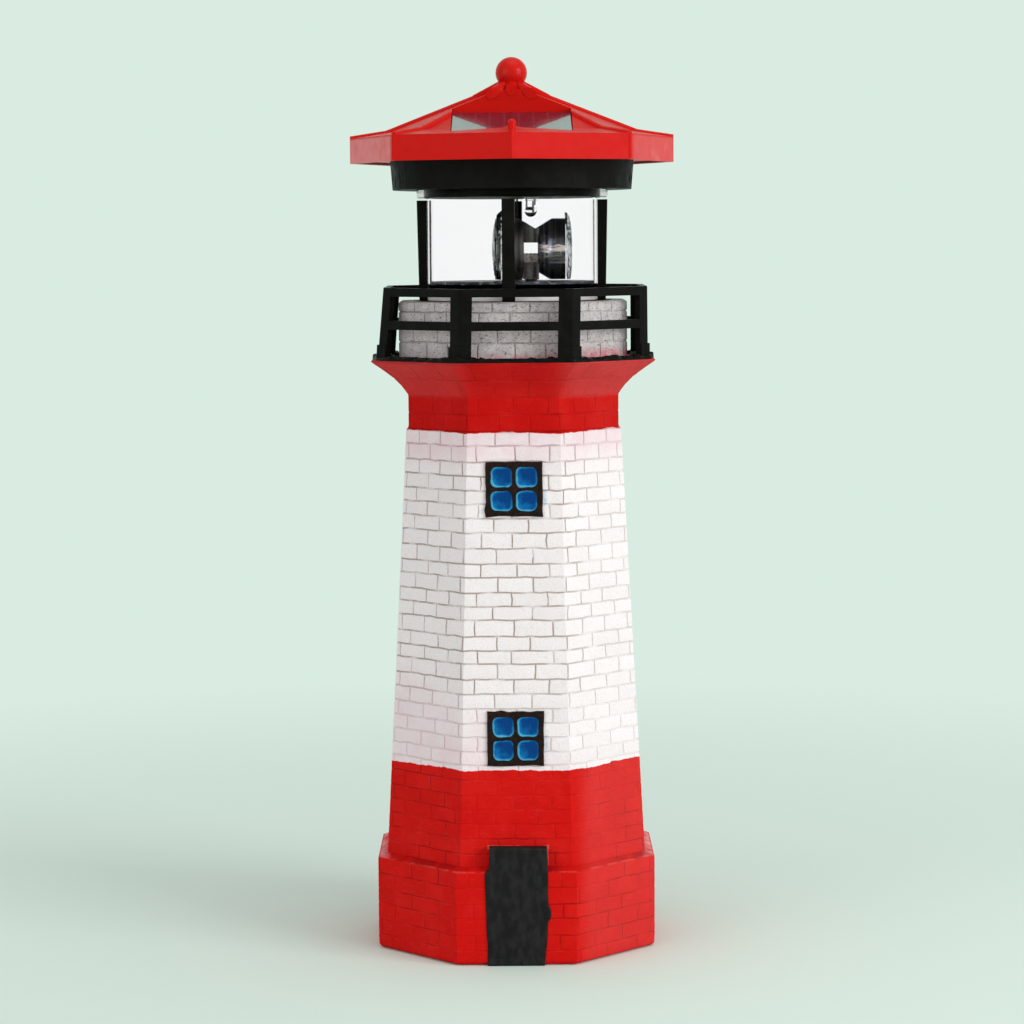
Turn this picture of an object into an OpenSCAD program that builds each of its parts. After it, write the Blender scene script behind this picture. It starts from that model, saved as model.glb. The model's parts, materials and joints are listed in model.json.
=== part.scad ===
// Garden lighthouse ornament: a cast brick tower that carries a lift-off solar lantern with a turning lens.
// Millimetres, +Z up, origin at the middle of the tower's underside, front towards -Y.

/* [Tower] */
// Width of the plinth across its flats
plinth_w = 109; // [106:0.5:114]
// Height of the plinth's upright faces
plinth_h = 36.5; // [30:0.5:42]
// Rise of the ledge from the plinth's edge to the shaft
ledge_rise = 1.2; // [0.5:0.1:3]
// Width of the shaft across its flats at the ledge
shaft_foot_w = 101.5; // [98:0.5:103]
// Width of the shaft across its flats at the neck
shaft_top_w = 84; // [83:0.5:92]
// Height of the tapering shaft
shaft_h = 167.3; // [145:0.1:195]
// Width of the neck across its flats
neck_w = 82.1; // [82:0.1:83]
// Height of the upright neck
neck_h = 12.5; // [8:0.5:20]
// Height of the flare under the gallery
flare_h = 13.8; // [10:0.2:18]
// Width of the gallery deck across its flats
deck_w = 110.3; // [107:0.1:116]
// Thickness of the deck's edge
deck_t = 0.7; // [0.5:0.1:2]
// Width of the brick drum across its flats
drum_w = 88.9; // [86:0.1:92]
// Height of the drum above the deck
drum_h = 23; // [20:0.5:30]
// Wall of the hollow casting
tower_wall = 6; // [3:0.5:8]
// Chamfer along the plinth's bottom edge
foot_chamfer = 2.5; // [0.5:0.5:3]
// Depth of the round rebate that the lantern's flange sits in
rebate_depth = 1; // [0.5:0.1:1.5]

/* [Door and windows] */
// Width of the door
door_w = 23.3; // [18:0.1:28]
// Height of the door
door_h = 46.3; // [43:0.1:55]
// How far the door stands out of the plinth
door_relief = 0.8; // [0.4:0.1:1.5]
// Width of a window
window_w = 21.6; // [16:0.1:26]
// Height of a window
window_h = 20.8; // [16:0.1:26]
// Width of a window's outer bars
window_bar = 2.4; // [1.5:0.1:3]
// Width of a window's crossed bars
window_cross = 2; // [1:0.1:3]
// How far the window bars stand out of the wall
window_relief = 0.9; // [0.5:0.1:1.5]
// How far the panes stand out of the wall
pane_relief = 0.4; // [0.2:0.1:0.5]
// Height of the lower window's centre
window_low_z = 87.4; // [75:0.1:110]
// Height of the upper window's centre
window_high_z = 183.2; // [150:0.1:185]

/* [Gallery railing] */
// Distance from the deck's edge in to the railing
rail_set_in = 2.8; // [2:0.1:4]
// Height of the railing above the deck
rail_h = 28.4; // [26:0.1:34]
// Thickness of the rails and posts, inwards
rail_t = 2.4; // [1.5:0.1:4]
// Height of the foot ring
rail_foot_h = 1.5; // [1:0.1:3]
// Height of the middle rail
rail_mid_h = 3.4; // [2:0.1:5]
// Height of the middle rail's underside above the deck
rail_mid_z = 12; // [8:0.1:16]
// Height of the top rail
rail_top_h = 3.7; // [2:0.1:5]
// Width of a corner post on each of its two facets
rail_post_w = 5.4; // [3:0.1:8]
// Height of the thicker foot of a corner post
rail_shoe_h = 6; // [3:0.5:10]
// How far the foot of a corner post stands out
rail_shoe_t = 0.8; // [0.3:0.1:1.5]

/* [Lantern base] */
// Radius of the lantern's round spigot
spigot_r = 35; // [34.5:0.1:35.4]
// Depth of the spigot below the flange
spigot_h = 28; // [26:0.5:31]
// Wall of the spigot
spigot_wall = 1.8; // [1.4:0.1:2.2]
// Distance that the flange reaches beyond the spigot
flange_lip = 4; // [3.4:0.1:5]
// Thickness of the flange
flange_t = 2; // [1.5:0.1:3]
// Depth of the seal's groove in the spigot
seal_depth = 0.75; // [0.5:0.05:0.9]
// Height of the seal
seal_h = 2; // [1.5:0.1:3]
// Distance from the flange down to the seal's groove
seal_drop = 8; // [6:0.5:10]
// Thickness of the lid under the spigot
lid_t = 2; // [1.5:0.1:3]
// Thickness of the plate that carries the gears
plate_t = 2; // [1.5:0.1:2.5]
// Height of the space for the gears, between the plate and the flange
gear_room = 9; // [8.6:0.1:10]
// Radius of the posts that take the lid's screws
lid_post_r = 3; // [2.6:0.1:3.4]
// Distance from the spigot's outside in to the lid's screws
lid_screw_inset = 4.4; // [4:0.1:4.6]

/* [Glass and posts] */
// Outer radius of the clear tube
tube_r = 33.35; // [32.8:0.05:33.4]
// Wall of the clear tube
tube_wall = 1.3; // [1:0.1:2]
// Height of the clear tube above the flange
tube_h = 40; // [36:0.5:50]
// Height of the clear floor's underside above the flange
floor_z = 5; // [4:0.1:6]
// Thickness of the clear floor
floor_t = 1.2; // [0.8:0.1:1.6]
// Width of a lantern post
post_w = 4.9; // [3.5:0.1:7]
// Outer radius of the posts at the flange
post_foot_r = 36.8; // [36:0.1:37.6]
// Outer radius of the posts at their tops
post_top_r = 37.55; // [36.5:0.05:38]
// Gap between the post tops and the cap above them
post_gap = 0.8; // [0.3:0.1:0.9]
// Turn of the lantern's posts about the tower's axis, in degrees
post_turn = -2.5; // [-10:0.5:10]

/* [Lens and drive] */
// Distance from the tower's axis to the lens's turning axis
rotor_x = 7.3; // [5:0.1:9]
// Height of the lens centre above the flange
lens_z = 18.5; // [17:0.1:19.5]
// Radius of a lens
lens_r = 15.3; // [13:0.1:15.8]
// Distance from the turning axis to the rim of a lens
lens_x = 11; // [9:0.1:11.5]
// Thickness of a lens at its rim
lens_rim = 1.6; // [1:0.1:2.5]
// Bulge of a lens from its rim to its crown
lens_bulge = 3.6; // [2:0.1:4.4]
// Radius of a reflector cup where it meets its lens
cup_r = 12.6; // [11:0.1:12.9]
// Radius of a reflector cup at the waist
cup_waist_r = 9.6; // [8:0.1:11]
// Half the width of the waist between the reflector cups
waist_x = 2.8; // [2:0.1:4]
// Radius of the turning shaft
shaft_r = 2.4; // [2:0.1:2.8]
// Tooth module of the gears
gear_m = 0.6; // [0.58:0.01:0.62]
// Teeth of the two large gears
wheel_teeth = 36; // [34:1:38]
// Teeth of the two pinions
pinion_teeth = 12; // [12:1:13]
// Thickness of the large gears
wheel_t = 2.4; // [2:0.1:2.6]
// Radius of the drive motor
motor_r = 8; // [7:0.1:8.5]
// Height of the drive motor
motor_h = 13; // [10:0.1:14]

/* [Cap and roof] */
// Radius of the small cap on top of the glass
cap_r = 37.65; // [37.6:0.05:39]
// Height of the small cap
cap_h = 3.2; // [2.6:0.1:5]
// Depth of the glass in the cap's groove
cap_groove = 1.2; // [0.8:0.1:1.6]
// Bottom radius of the black ring housing
ring_foot_r = 46.3; // [45.6:0.1:47.5]
// Top radius of the black ring housing
ring_top_r = 48; // [47:0.1:50]
// Height of the ring housing
ring_h = 11.5; // [10:0.1:16]
// Wall of the ring housing
ring_wall = 1.8; // [1.2:0.1:2.5]
// How far the roof's edge hangs below the top of the ring housing
eave_drop = 1; // [0.5:0.1:2]
// Distance from the axis to a corner of the roof
roof_r = 63.7; // [62:0.1:68]
// Height of the roof's upright edge
eave_h = 9.8; // [9:0.1:12]
// Wall of the roof
roof_wall = 2; // [1.6:0.1:2.4]
// Slope of the roof, as rise over run along a corner
roof_slope = 0.39; // [0.36:0.01:0.42]
// Distance from the axis to where the roof's slope starts
slope_r = 49; // [48:0.5:52]
// Rise of the flatter skirt outside the slope
skirt_rise = 3.2; // [2.5:0.1:4]
// Radius of the rolls along the roof's corners
roll_r = 1.9; // [1.2:0.1:2.4]
// Thickness of the soffit plate inside the roof's edge
soffit_t = 2; // [1.5:0.1:2.5]
// Radius of the finial ball
ball_r = 6; // [5:0.1:8]
// Radius of the finial's neck
finial_neck_r = 4.4; // [3.5:0.1:5]

/* [Solar panels] */
// Width of a solar panel
panel_w = 46.2; // [36:0.1:47]
// Distance from the axis to a pocket's inner wall
pocket_in = 7; // [6:0.1:9]
// Distance from the axis to a pocket's outer edge
pocket_out = 47; // [42:0.5:48]
// Height from the roof's edge up to a panel's inner edge
panel_rise_in = 9.8; // [9:0.1:10.5]
// Height from the roof's edge up to a panel's outer edge
panel_rise_out = 0.3; // [0:0.1:0.8]
// Thickness of a solar panel
panel_t = 2.4; // [1.6:0.1:2.8]

/* [Electric parts] */
// Radius of the light-emitting diode
led_r = 2.5; // [1.5:0.1:2.6]
// Length of the diode below the cap
led_len = 7.5; // [6:0.1:8]
// Width of the circuit board
board_w = 44; // [36:1:48]
// Depth of the circuit board
board_d = 34; // [28:1:38]
// Thickness of the circuit board
board_t = 1.6; // [0.8:0.2:2]
// Height of the feet under the circuit board
board_z = 3; // [2:0.5:4]
// Radius of the battery
battery_r = 5.25; // [4.5:0.05:5.5]
// Length of the battery
battery_l = 44.5; // [40:0.5:44.5]
// Radius of the battery leads and lamp leads
lead_r = 0.45; // [0.35:0.05:0.45]
// Travel of the switch
switch_travel = 3; // [2:0.5:4]

/* [Clearances] */
// Gap round a part that drops or slides into its seat
slip = 0.3; // [0.25:0.05:0.35]
// Gap round a shaft, a seal or a screw in its hole
running = 0.05; // [0.02:0.01:0.08]
// Gap between gear teeth, added to the distance between the gears
backlash = 0.12; // [0.1:0.01:0.2]

/* [Hidden] */

$fn = 64;
eps = 0.01;
far = 400;

// Colours, as the ornament is painted
red = [0.80, 0.07, 0.06];
white = [0.93, 0.92, 0.90];
black = [0.09, 0.09, 0.09];
blue = [0.05, 0.35, 0.65];
steel = [0.70, 0.71, 0.73];
clear = [0.85, 0.92, 0.96, 0.35];

// Share of the width across the flats that one facet of the tower takes
facet_share = 0.425;
// Width across the slanting flats against that across the front and back flats
diagonal_share = (1 + facet_share) / sqrt(2);
// Angle between the corners of an octagon
corner_step = 45;

// Heights of the tower's stages
z_shaft = plinth_h + ledge_rise;
z_neck = z_shaft + shaft_h;
z_flare = z_neck + neck_h;
z_deck_edge = z_flare + flare_h;
z_deck = z_deck_edge + deck_t;
z_drum = z_deck + drum_h;
rail_w = deck_w - 2 * rail_set_in;
flare_steps = 5;
flare_bow = 1.5;
shaft_lean = atan((shaft_foot_w - shaft_top_w) / 2 / shaft_h);
bore_r = spigot_r + slip;
flange_r = spigot_r + flange_lip;
lid_screw_circle = spigot_r - lid_screw_inset;

// Heights of the lantern's base
z_seat = z_drum - rebate_depth;
z_flange = z_seat + flange_t;
z_lid = z_seat - spigot_h;
z_lid_top = z_lid + lid_t;
z_plate_top = z_seat - gear_room;
z_plate = z_plate_top - plate_t;
z_seal = z_seat - seal_drop - seal_h;
cup_in_r = spigot_r - spigot_wall;
lid_screw_angles = [30, 150, 270];
lid_screw_head_r = 2.4;
lid_screw_head_h = 1.4;
screw_r = 1.1;
pilot_r = screw_r + running;
lid_screw_depth = 10;

// Heights of the glass, the cap and the housing above it
z_tube_top = z_flange + tube_h;
z_cap = z_tube_top - cap_groove;
z_ring = z_cap + cap_h;
z_ring_top = z_ring + ring_h;
z_eave = z_ring_top - eave_drop;
z_edge = z_eave + eave_h;
z_board = z_ring + ring_wall + board_z;
tube_in_r = tube_r - tube_wall;
tube_ledge = 0.9;
led_leg_r = 0.35;
led_leg_x = 1.27;
post_in_r = tube_r + 0.25;

// Lens, reflector and shaft
z_lens = z_flange + lens_z;
z_clear_floor = z_flange + floor_z;
z_rotor = z_clear_floor + floor_t + 2 * slip;
z_cup_top = z_lens + cup_r;
z_led = z_cap - led_len;
shoulder_gap = running;
journal_r = 1.5;
socket_h = 1.5;
vee_drop = 4.2;
bridge_drop = 5.5;
slot_h = 7.8;

// Gears: the shaft's wheel, the idler and the motor's pinion stand in a bent row
wheel_r = gear_m * wheel_teeth / 2;
pinion_r = gear_m * pinion_teeth / 2;
gear_gap = wheel_r + pinion_r + backlash;
idler_angle = 147;
motor_angle = 200;
idler_x = rotor_x + gear_gap * cos(idler_angle);
idler_y = gear_gap * sin(idler_angle);
motor_x = idler_x + gear_gap * cos(motor_angle);
motor_y = idler_y + gear_gap * sin(motor_angle);
idler_pin_r = 1;
motor_shaft_r = 0.75;
motor_boss_r = 3;
motor_boss_h = 1.4;
z_idler = z_plate_top + 1;
z_wheel = z_idler + wheel_t + 1.4;
pressure_angle = 25;
tip_share = 0.9;
root_share = 1.2;
flank_points = 4;

// Roof
octagon_in = cos(corner_step / 2);
z_slope = z_edge + skirt_rise - roll_r / 2;
z_apex = z_slope + (slope_r - finial_neck_r) * roof_slope;
roof_inner_r = roof_r - roof_wall / octagon_in;
soffit_r = roof_inner_r - slip;
soffit_hole_r = ring_foot_r - ring_wall - 6;
z_soffit = z_ring_top;
housing_screw_circle = (cap_r + ring_foot_r) / 2;
housing_boss_r = 3.4;
housing_head_r = 2.6;
housing_head_h = 1.8;
housing_screw_depth = 6;
finial_pin_r = 2;
finial_pin_h = 4;
finial_boss_r = 4;

// Solar panels and their pockets
pocket_w = panel_w + slip;
panel_run = pocket_out - pocket_in;
panel_tilt = atan((panel_rise_in - panel_rise_out) / panel_run);
panel_drop = panel_t / cos(panel_tilt);
panel_len = (panel_run - slip) / cos(panel_tilt) - panel_t * tan(panel_tilt);
panel_lead_y = pocket_in + 8;

// Battery, contacts and switch
battery_y = -17;
battery_gap = 1.3;
battery_z = z_lid_top + battery_gap + battery_r;
contact_t = 1;
contact_w = 7;
contact_h = 10;
cradle_w = 3;
cradle_x = 13;
switch_x = 12;
switch_y = 15;
switch_l = 12;
switch_w = 6;
switch_h = 5;
slider_l = 5;
slider_w = 3;
slider_h = 1.6;
nub_w = 2.4;
nub_drop = 1.8;

// Leads: where they run down the rear post and what they end on
post_lead_r = post_in_r + 0.6;
lead_pair = 0.6;
rear_angle = 90 + post_turn;
lead_x = post_lead_r * cos(rear_angle);
lead_y = post_lead_r * sin(rear_angle);
lead_turn = 1.2;
lead_drop_y = 30;
z_lead_in = z_seat - 1.6;
z_lead_low = z_lid_top + 3;
z_lead_board = z_ring + ring_wall + 1.5;
slot_w = 3;
slot_r = post_in_r - 2;

// ---- shared shapes ----

// Octagon with flats to the front, given its width across the flats
function octagon(w) =
    let (h = w / 2, f = w * facet_share / 2)
    [[f, -h], [h, -f], [h, f], [f, h], [-f, h], [-h, f], [-h, -f], [-f, -h]];

// Eight-sided form whose half width at each height follows a profile of [half width, height] points
module octagon_form(profile) {
    n = len(profile);
    intersection_for (i = [0:3]) {
        k = i % 2 == 0 ? 1 : diagonal_share;
        rotate([90, 0, i * corner_step]) linear_extrude(height = far, center = true)
            polygon([
                for (p = profile) [p[0] * k, p[1]],
                for (j = [n - 1:-1:0]) [-profile[j][0] * k, profile[j][1]]
            ]);
    }
}

// Roof stages have a corner to the front
module roof_stage(r0, r1, h) {
    cylinder(r1 = r0, r2 = r1, h = h, $fn = 8);
}

// Points of one gear tooth, from the left root to the right root
function involute_angle(r, base) = let (a = acos(min(1, base / r))) tan(a) * 180 / PI - a;

function tooth(teeth, turn) =
    let (
        pitch = gear_m * teeth / 2,
        base = pitch * cos(pressure_angle),
        tip = pitch + tip_share * gear_m,
        root = pitch - root_share * gear_m,
        low = max(base, root),
        half = 90 / teeth + involute_angle(pitch, base),
        radii = [for (i = [0:flank_points - 1]) low + (tip - low) * i / (flank_points - 1)]
    )
    concat(
        [[root, turn - half]],
        [for (r = radii) [r, turn - half + involute_angle(r, base)]],
        [for (i = [flank_points - 1:-1:0]) [radii[i], turn + half - involute_angle(radii[i], base)]],
        [[root, turn + half]]
    );

// Spur gear outline with one tooth at angle turn
module gear_outline(teeth, turn) {
    polar = [for (i = [0:teeth - 1]) each tooth(teeth, turn + 360 * i / teeth)];
    polygon([for (p = polar) [p[0] * cos(p[1]), p[0] * sin(p[1])]]);
}

// Round lead swept along a route, with its ends square to the first and last stretch
lead_sides = 8;

function unit(v) = v / norm(v);

function ring_points(c, along, side, r) =
    let (u = unit(cross(along, side)), v = unit(cross(u, along)))
    [for (i = [0:lead_sides - 1]) c + r * (u * cos(360 * i / lead_sides) + v * sin(360 * i / lead_sides))];

function route_side(route) = unit([0.31, 0.53, 0.79]);

module lead(route, r) {
    n = len(route);
    dirs = [
        for (i = [0:n - 1])
            let (a = route[max(i, 1)] - route[max(i, 1) - 1], b = route[min(i + 1, n - 1)] - route[min(i, n - 2)])
            unit(unit(a) + unit(b))
    ];
    points = [for (i = [0:n - 1]) each ring_points(route[i], dirs[i], route_side(route), r)];
    sides = [
        for (i = [0:n - 2], k = [0:lead_sides - 1])
            let (a = i * lead_sides + k, b = i * lead_sides + (k + 1) % lead_sides)
            each [[a, b, b + lead_sides], [a, b + lead_sides, a + lead_sides]]
    ];
    last = (n - 1) * lead_sides;
    near_end = [[for (k = [lead_sides - 1:-1:0]) k]];
    far_end = [[for (k = [0:lead_sides - 1]) last + k]];
    polyhedron(points, concat(sides, near_end, far_end), convexity = 4);
}

// ---- tower ----

function shaft_width(z) = shaft_foot_w + (shaft_top_w - shaft_foot_w) * (z - z_shaft) / shaft_h;

function flare_width(i) = neck_w + (deck_w - neck_w) * pow(i / flare_steps, flare_bow);

// Outline of the plinth, its ledge and the tapering shaft
shaft_profile = [
    [plinth_w / 2 - foot_chamfer, 0], [plinth_w / 2, foot_chamfer], [plinth_w / 2, plinth_h],
    [shaft_foot_w / 2, z_shaft], [shaft_top_w / 2, z_neck]
];

// Outline of the neck, the flare, the deck and the drum
gallery_profile = [
    [neck_w / 2, z_neck],
    for (i = [0:flare_steps]) [flare_width(i) / 2, z_flare + flare_h * i / flare_steps],
    [deck_w / 2, z_deck], [drum_w / 2, z_deck], [drum_w / 2, z_drum]
];

// Hollow of the casting: one taper up to the neck, then the lantern's round bore takes over
module tower_hollow() {
    octagon_form([
        [shaft_foot_w / 2 - tower_wall, -eps], [shaft_top_w / 2 - tower_wall, z_neck]
    ]);
    translate([0, 0, z_neck - eps]) cylinder(r = bore_r, h = z_drum - z_neck + 2 * eps, $fn = 96);
    translate([0, 0, z_seat]) cylinder(r = flange_r + slip, h = rebate_depth + eps, $fn = 96);
}

// One white casting; its red bands are paint
module tower_body() {
    color(white) difference() {
        octagon_form(concat(shaft_profile, gallery_profile));
        tower_hollow();
    }
}

// The door lies on the plinth's front and reaches up over the ledge
module door() {
    color(black) difference() {
        translate([-door_w / 2, -plinth_w / 2 - door_relief, 0]) cube([door_w, plinth_w / 4, door_h]);
        octagon_form(shaft_profile);
    }
}

// Places a window part on the leaning front wall, with its face outwards
module on_front_wall(z) {
    translate([0, -shaft_width(z) / 2, z]) rotate([90 - shaft_lean, 0, 0]) children();
}

module window_bars(z) {
    glass_w = (window_w - 2 * window_bar - window_cross) / 2;
    glass_h = (window_h - 2 * window_bar - window_cross) / 2;
    color(black) on_front_wall(z) linear_extrude(height = window_relief) difference() {
        square([window_w, window_h], center = true);
        for (x = [-1, 1], y = [-1, 1])
            translate([x * (glass_w + window_cross) / 2, y * (glass_h + window_cross) / 2])
                square([glass_w, glass_h], center = true);
    }
}

module window_panes(z) {
    pane_gap = 0.05;
    glass_w = (window_w - 2 * window_bar - window_cross) / 2;
    glass_h = (window_h - 2 * window_bar - window_cross) / 2;
    color(blue) on_front_wall(z)
        for (x = [-1, 1], y = [-1, 1])
            translate([x * (glass_w + window_cross) / 2, y * (glass_h + window_cross) / 2, pane_relief / 2])
                cube([glass_w - 2 * pane_gap, glass_h - 2 * pane_gap, pane_relief], center = true);
}

// ---- gallery railing ----

module rail_ring(z, h) {
    translate([0, 0, z]) linear_extrude(height = h) difference() {
        polygon(octagon(rail_w));
        polygon(octagon(rail_w - 2 * rail_t));
    }
}

// One angle post folded round each corner: a ring as wide as w, kept only near its corners
module rail_posts(w, h) {
    open_w = rail_w * facet_share - 2 * rail_post_w;
    translate([0, 0, z_deck]) linear_extrude(height = h) difference() {
        polygon(octagon(w));
        polygon(octagon(rail_w - 2 * rail_t));
        for (i = [0:3]) rotate(i * corner_step) square([open_w, 2 * w], center = true);
    }
}

module gallery_railing() {
    color(black) union() {
        rail_ring(z_deck, rail_foot_h);
        rail_ring(z_deck + rail_mid_z, rail_mid_h);
        rail_ring(z_deck + rail_h - rail_top_h, rail_top_h);
        rail_posts(rail_w, rail_h);
        rail_posts(rail_w + 2 * rail_shoe_t, rail_shoe_h);
    }
}

// ---- lantern base ----

// Rubber seal that grips the tower's bore; it rises with the lantern and lets it turn
module seal_ring() {
    color(black) translate([0, 0, z_seal + slip]) difference() {
        cylinder(r = bore_r - running, h = seal_h - 2 * slip, $fn = 96);
        translate([0, 0, -eps]) cylinder(r = spigot_r - seal_depth + running, h = seal_h, $fn = 96);
    }
}

module post_profile() {
    polygon([
        [post_in_r, z_flange - eps], [post_foot_r, z_flange - eps],
        [post_top_r, z_cap - post_gap], [post_in_r, z_cap - post_gap]
    ]);
}

// Slot for the pair of leads, from radius r0 outwards, on the rear post's line
module lead_slot(r0, r1, z, h) {
    rotate(rear_angle) translate([r0, -slot_w / 2, z]) cube([r1 - r0, slot_w, h]);
}

module lantern_frame() {
    channel_r = post_lead_r + lead_r + running;
    color(black) difference() {
        union() {
            translate([0, 0, z_seat]) cylinder(r = flange_r, h = flange_t, $fn = 96);
            for (i = [0:3]) rotate(rear_angle + i * 90) rotate([90, 0, 0])
                linear_extrude(height = post_w, center = true) post_profile();
        }
        translate([rotor_x, 0, z_seat - eps]) cylinder(r = shaft_r + running, h = flange_t + 2 * eps);
        translate([idler_x, idler_y, z_seat - eps]) cylinder(r = idler_pin_r, h = flange_t / 2 + eps);
        lead_slot(post_lead_r - lead_r - running, channel_r, z_seat - eps, flange_t + 2 * eps);
        lead_slot(post_in_r - slip, channel_r, z_flange - eps, tube_h);
    }
}

module lid_screw_places() {
    for (a = lid_screw_angles) rotate(a) translate([lid_screw_circle, 0, 0]) children();
}

// Cup of the spigot: a round wall with a seal groove and three posts for the lid's screws
module spigot_cup() {
    color(black) difference() {
        union() {
            translate([0, 0, z_lid]) difference() {
                cylinder(r = spigot_r, h = spigot_h, $fn = 96);
                translate([0, 0, -eps]) cylinder(r = cup_in_r, h = spigot_h + 2 * eps, $fn = 96);
            }
            translate([0, 0, z_lid_top]) intersection() {
                lid_screw_places() cylinder(r = lid_post_r, h = z_plate - z_lid_top);
                cylinder(r = spigot_r - seal_depth - running, h = spigot_h);
            }
        }
        translate([0, 0, z_seal]) difference() {
            cylinder(r = spigot_r + 1, h = seal_h, $fn = 96);
            translate([0, 0, -eps]) cylinder(r = spigot_r - seal_depth, h = seal_h + 2 * eps, $fn = 96);
        }
        translate([0, 0, z_lid_top - eps]) lid_screw_places() cylinder(r = pilot_r, h = lid_screw_depth + eps);
        lead_slot(slot_r, spigot_r + 1, z_lead_in - 2 * lead_turn, z_seat - z_lead_in + 2 * lead_turn + eps);
    }
}

// Lid under the spigot, with the battery's cradle and the switch's slot
module spigot_lid() {
    slot_l = nub_w + switch_travel + 2 * slip;
    color(black) difference() {
        union() {
            translate([0, 0, z_lid]) cylinder(r = cup_in_r - running, h = lid_t, $fn = 96);
            for (s = [-1, 1]) translate([s * cradle_x - cradle_w / 2, battery_y - battery_r, z_lid_top - eps])
                cube([cradle_w, 2 * battery_r, battery_gap + battery_r / 2]);
        }
        translate([-battery_l, battery_y, battery_z]) rotate([0, 90, 0])
            cylinder(r = battery_r + running, h = 2 * battery_l);
        translate([0, 0, z_lid - eps]) lid_screw_places() cylinder(r = screw_r + slip, h = lid_t + 2 * eps);
        translate([switch_x - slot_l / 2, switch_y - nub_w / 2 - slip, z_lid - eps])
            cube([slot_l, nub_w + 2 * slip, lid_t + 2 * eps]);
    }
}

module lid_screw(i) {
    color(steel) rotate(lid_screw_angles[i]) translate([lid_screw_circle, 0, z_lid - lid_screw_head_h])
        difference() {
            union() {
                cylinder(r = lid_screw_head_r, h = lid_screw_head_h);
                cylinder(r = screw_r, h = lid_screw_head_h + lid_t + lid_screw_depth - slip);
            }
            cube([3, 0.6, 1.2], center = true);
            cube([0.6, 3, 1.2], center = true);
        }
}

module gear_plate() {
    color([0.85, 0.84, 0.80]) difference() {
        translate([0, 0, z_plate]) cylinder(r = cup_in_r - running, h = plate_t, $fn = 96);
        translate([rotor_x, 0, z_plate - eps]) cylinder(r = journal_r + running, h = plate_t + 2 * eps);
        translate([idler_x, idler_y, z_plate - eps]) cylinder(r = idler_pin_r, h = plate_t + 2 * eps);
        translate([motor_x, motor_y, z_plate - eps]) cylinder(r = motor_boss_r + running, h = plate_t + 2 * eps);
        lead_slot(lead_drop_y - 2, spigot_r, z_plate - eps, plate_t + 2 * eps);
    }
}

// ---- drive ----

module motor() {
    color(steel) translate([motor_x, motor_y, z_plate - motor_h]) difference() {
        union() {
            cylinder(r = motor_r, h = motor_h);
            cylinder(r = motor_boss_r, h = motor_h + motor_boss_h);
        }
        translate([0, 0, motor_h / 2]) cylinder(r = motor_shaft_r + running, h = motor_h);
    }
}

module motor_shaft() {
    color(steel) translate([motor_x, motor_y, z_plate - motor_h / 2 + slip])
        cylinder(r = motor_shaft_r, h = motor_h / 2 + plate_t + 4);
}

module motor_pinion() {
    color(white) translate([motor_x, motor_y, z_idler - slip]) linear_extrude(height = wheel_t + 2 * slip)
        difference() {
            gear_outline(pinion_teeth, motor_angle + 180 + 180 / pinion_teeth);
            circle(r = motor_shaft_r, $fn = 32);
        }
}

module idler_pin() {
    color(steel) translate([idler_x, idler_y, z_plate])
        cylinder(r = idler_pin_r, h = z_seat + flange_t / 2 - z_plate);
}

module idler_gear() {
    small_h = z_seat - slip - z_idler - wheel_t;
    color(white) translate([idler_x, idler_y, 0]) difference() {
        union() {
            translate([0, 0, z_plate_top + slip]) cylinder(r = 2, h = z_idler - z_plate_top);
            translate([0, 0, z_idler]) linear_extrude(height = wheel_t) gear_outline(wheel_teeth, motor_angle);
            translate([0, 0, z_idler + wheel_t - eps]) linear_extrude(height = small_h)
                gear_outline(pinion_teeth, idler_angle + 180 + 180 / pinion_teeth);
        }
        translate([0, 0, z_plate_top]) cylinder(r = idler_pin_r + running, h = gear_room);
    }
}

module rotor_gear() {
    color(white) translate([rotor_x, 0, z_wheel]) difference() {
        linear_extrude(height = wheel_t) gear_outline(wheel_teeth, idler_angle);
        translate([0, 0, -eps]) cylinder(r = shaft_r, h = wheel_t + 2 * eps);
    }
}

module rotor_shaft() {
    foot = z_plate_top + shoulder_gap;
    color(black) translate([rotor_x, 0, 0]) union() {
        translate([0, 0, z_plate - 1]) cylinder(r = journal_r, h = foot - z_plate + 1 + eps);
        translate([0, 0, foot]) cylinder(r = shaft_r, h = z_rotor + socket_h - foot);
    }
}

// Bow-tie reflector: two cups back to back, a 45 degree vee under the diode and an open slot at the waist
module reflector() {
    cup_l = lens_x - waist_x;
    foot_w = 2 * sqrt(lens_r * lens_r - pow(z_lens - z_rotor, 2)) - 3;
    color(steel) translate([rotor_x, 0, 0]) difference() {
        union() {
            for (s = [-1, 1]) translate([s * waist_x, 0, z_lens]) rotate([0, s * 90, 0])
                cylinder(r1 = cup_waist_r, r2 = cup_r, h = cup_l);
            translate([0, 0, z_cup_top - vee_drop - bridge_drop / 2])
                cube([2 * waist_x + 2, 2 * cup_waist_r - 6, bridge_drop], center = true);
            translate([-waist_x - 1, -cup_waist_r + 3, z_rotor])
                cube([2 * waist_x + 2, 2 * cup_waist_r - 6, z_cup_top - z_rotor - vee_drop - bridge_drop - slot_h]);
            translate([-lens_x, -foot_w / 2, z_rotor]) cube([2 * lens_x, foot_w, 3]);
        }
        translate([0, 0, z_cup_top - vee_drop]) rotate([90, 0, 0]) linear_extrude(height = 3 * cup_r, center = true)
            polygon([[0, 0], [vee_drop * 2, vee_drop * 2], [-vee_drop * 2, vee_drop * 2]]);
        for (s = [-1, 1]) translate([s * (waist_x + 1.6), 0, z_lens]) rotate([0, s * 90, 0])
            cylinder(r1 = 4, r2 = cup_r - 1.2, h = cup_l - 1.6 + eps);
        translate([0, 0, z_rotor - eps]) cylinder(r = shaft_r, h = socket_h + eps);
        translate([0, 0, z_rotor - 5]) cube([far, far, 10], center = true);
    }
}

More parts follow.
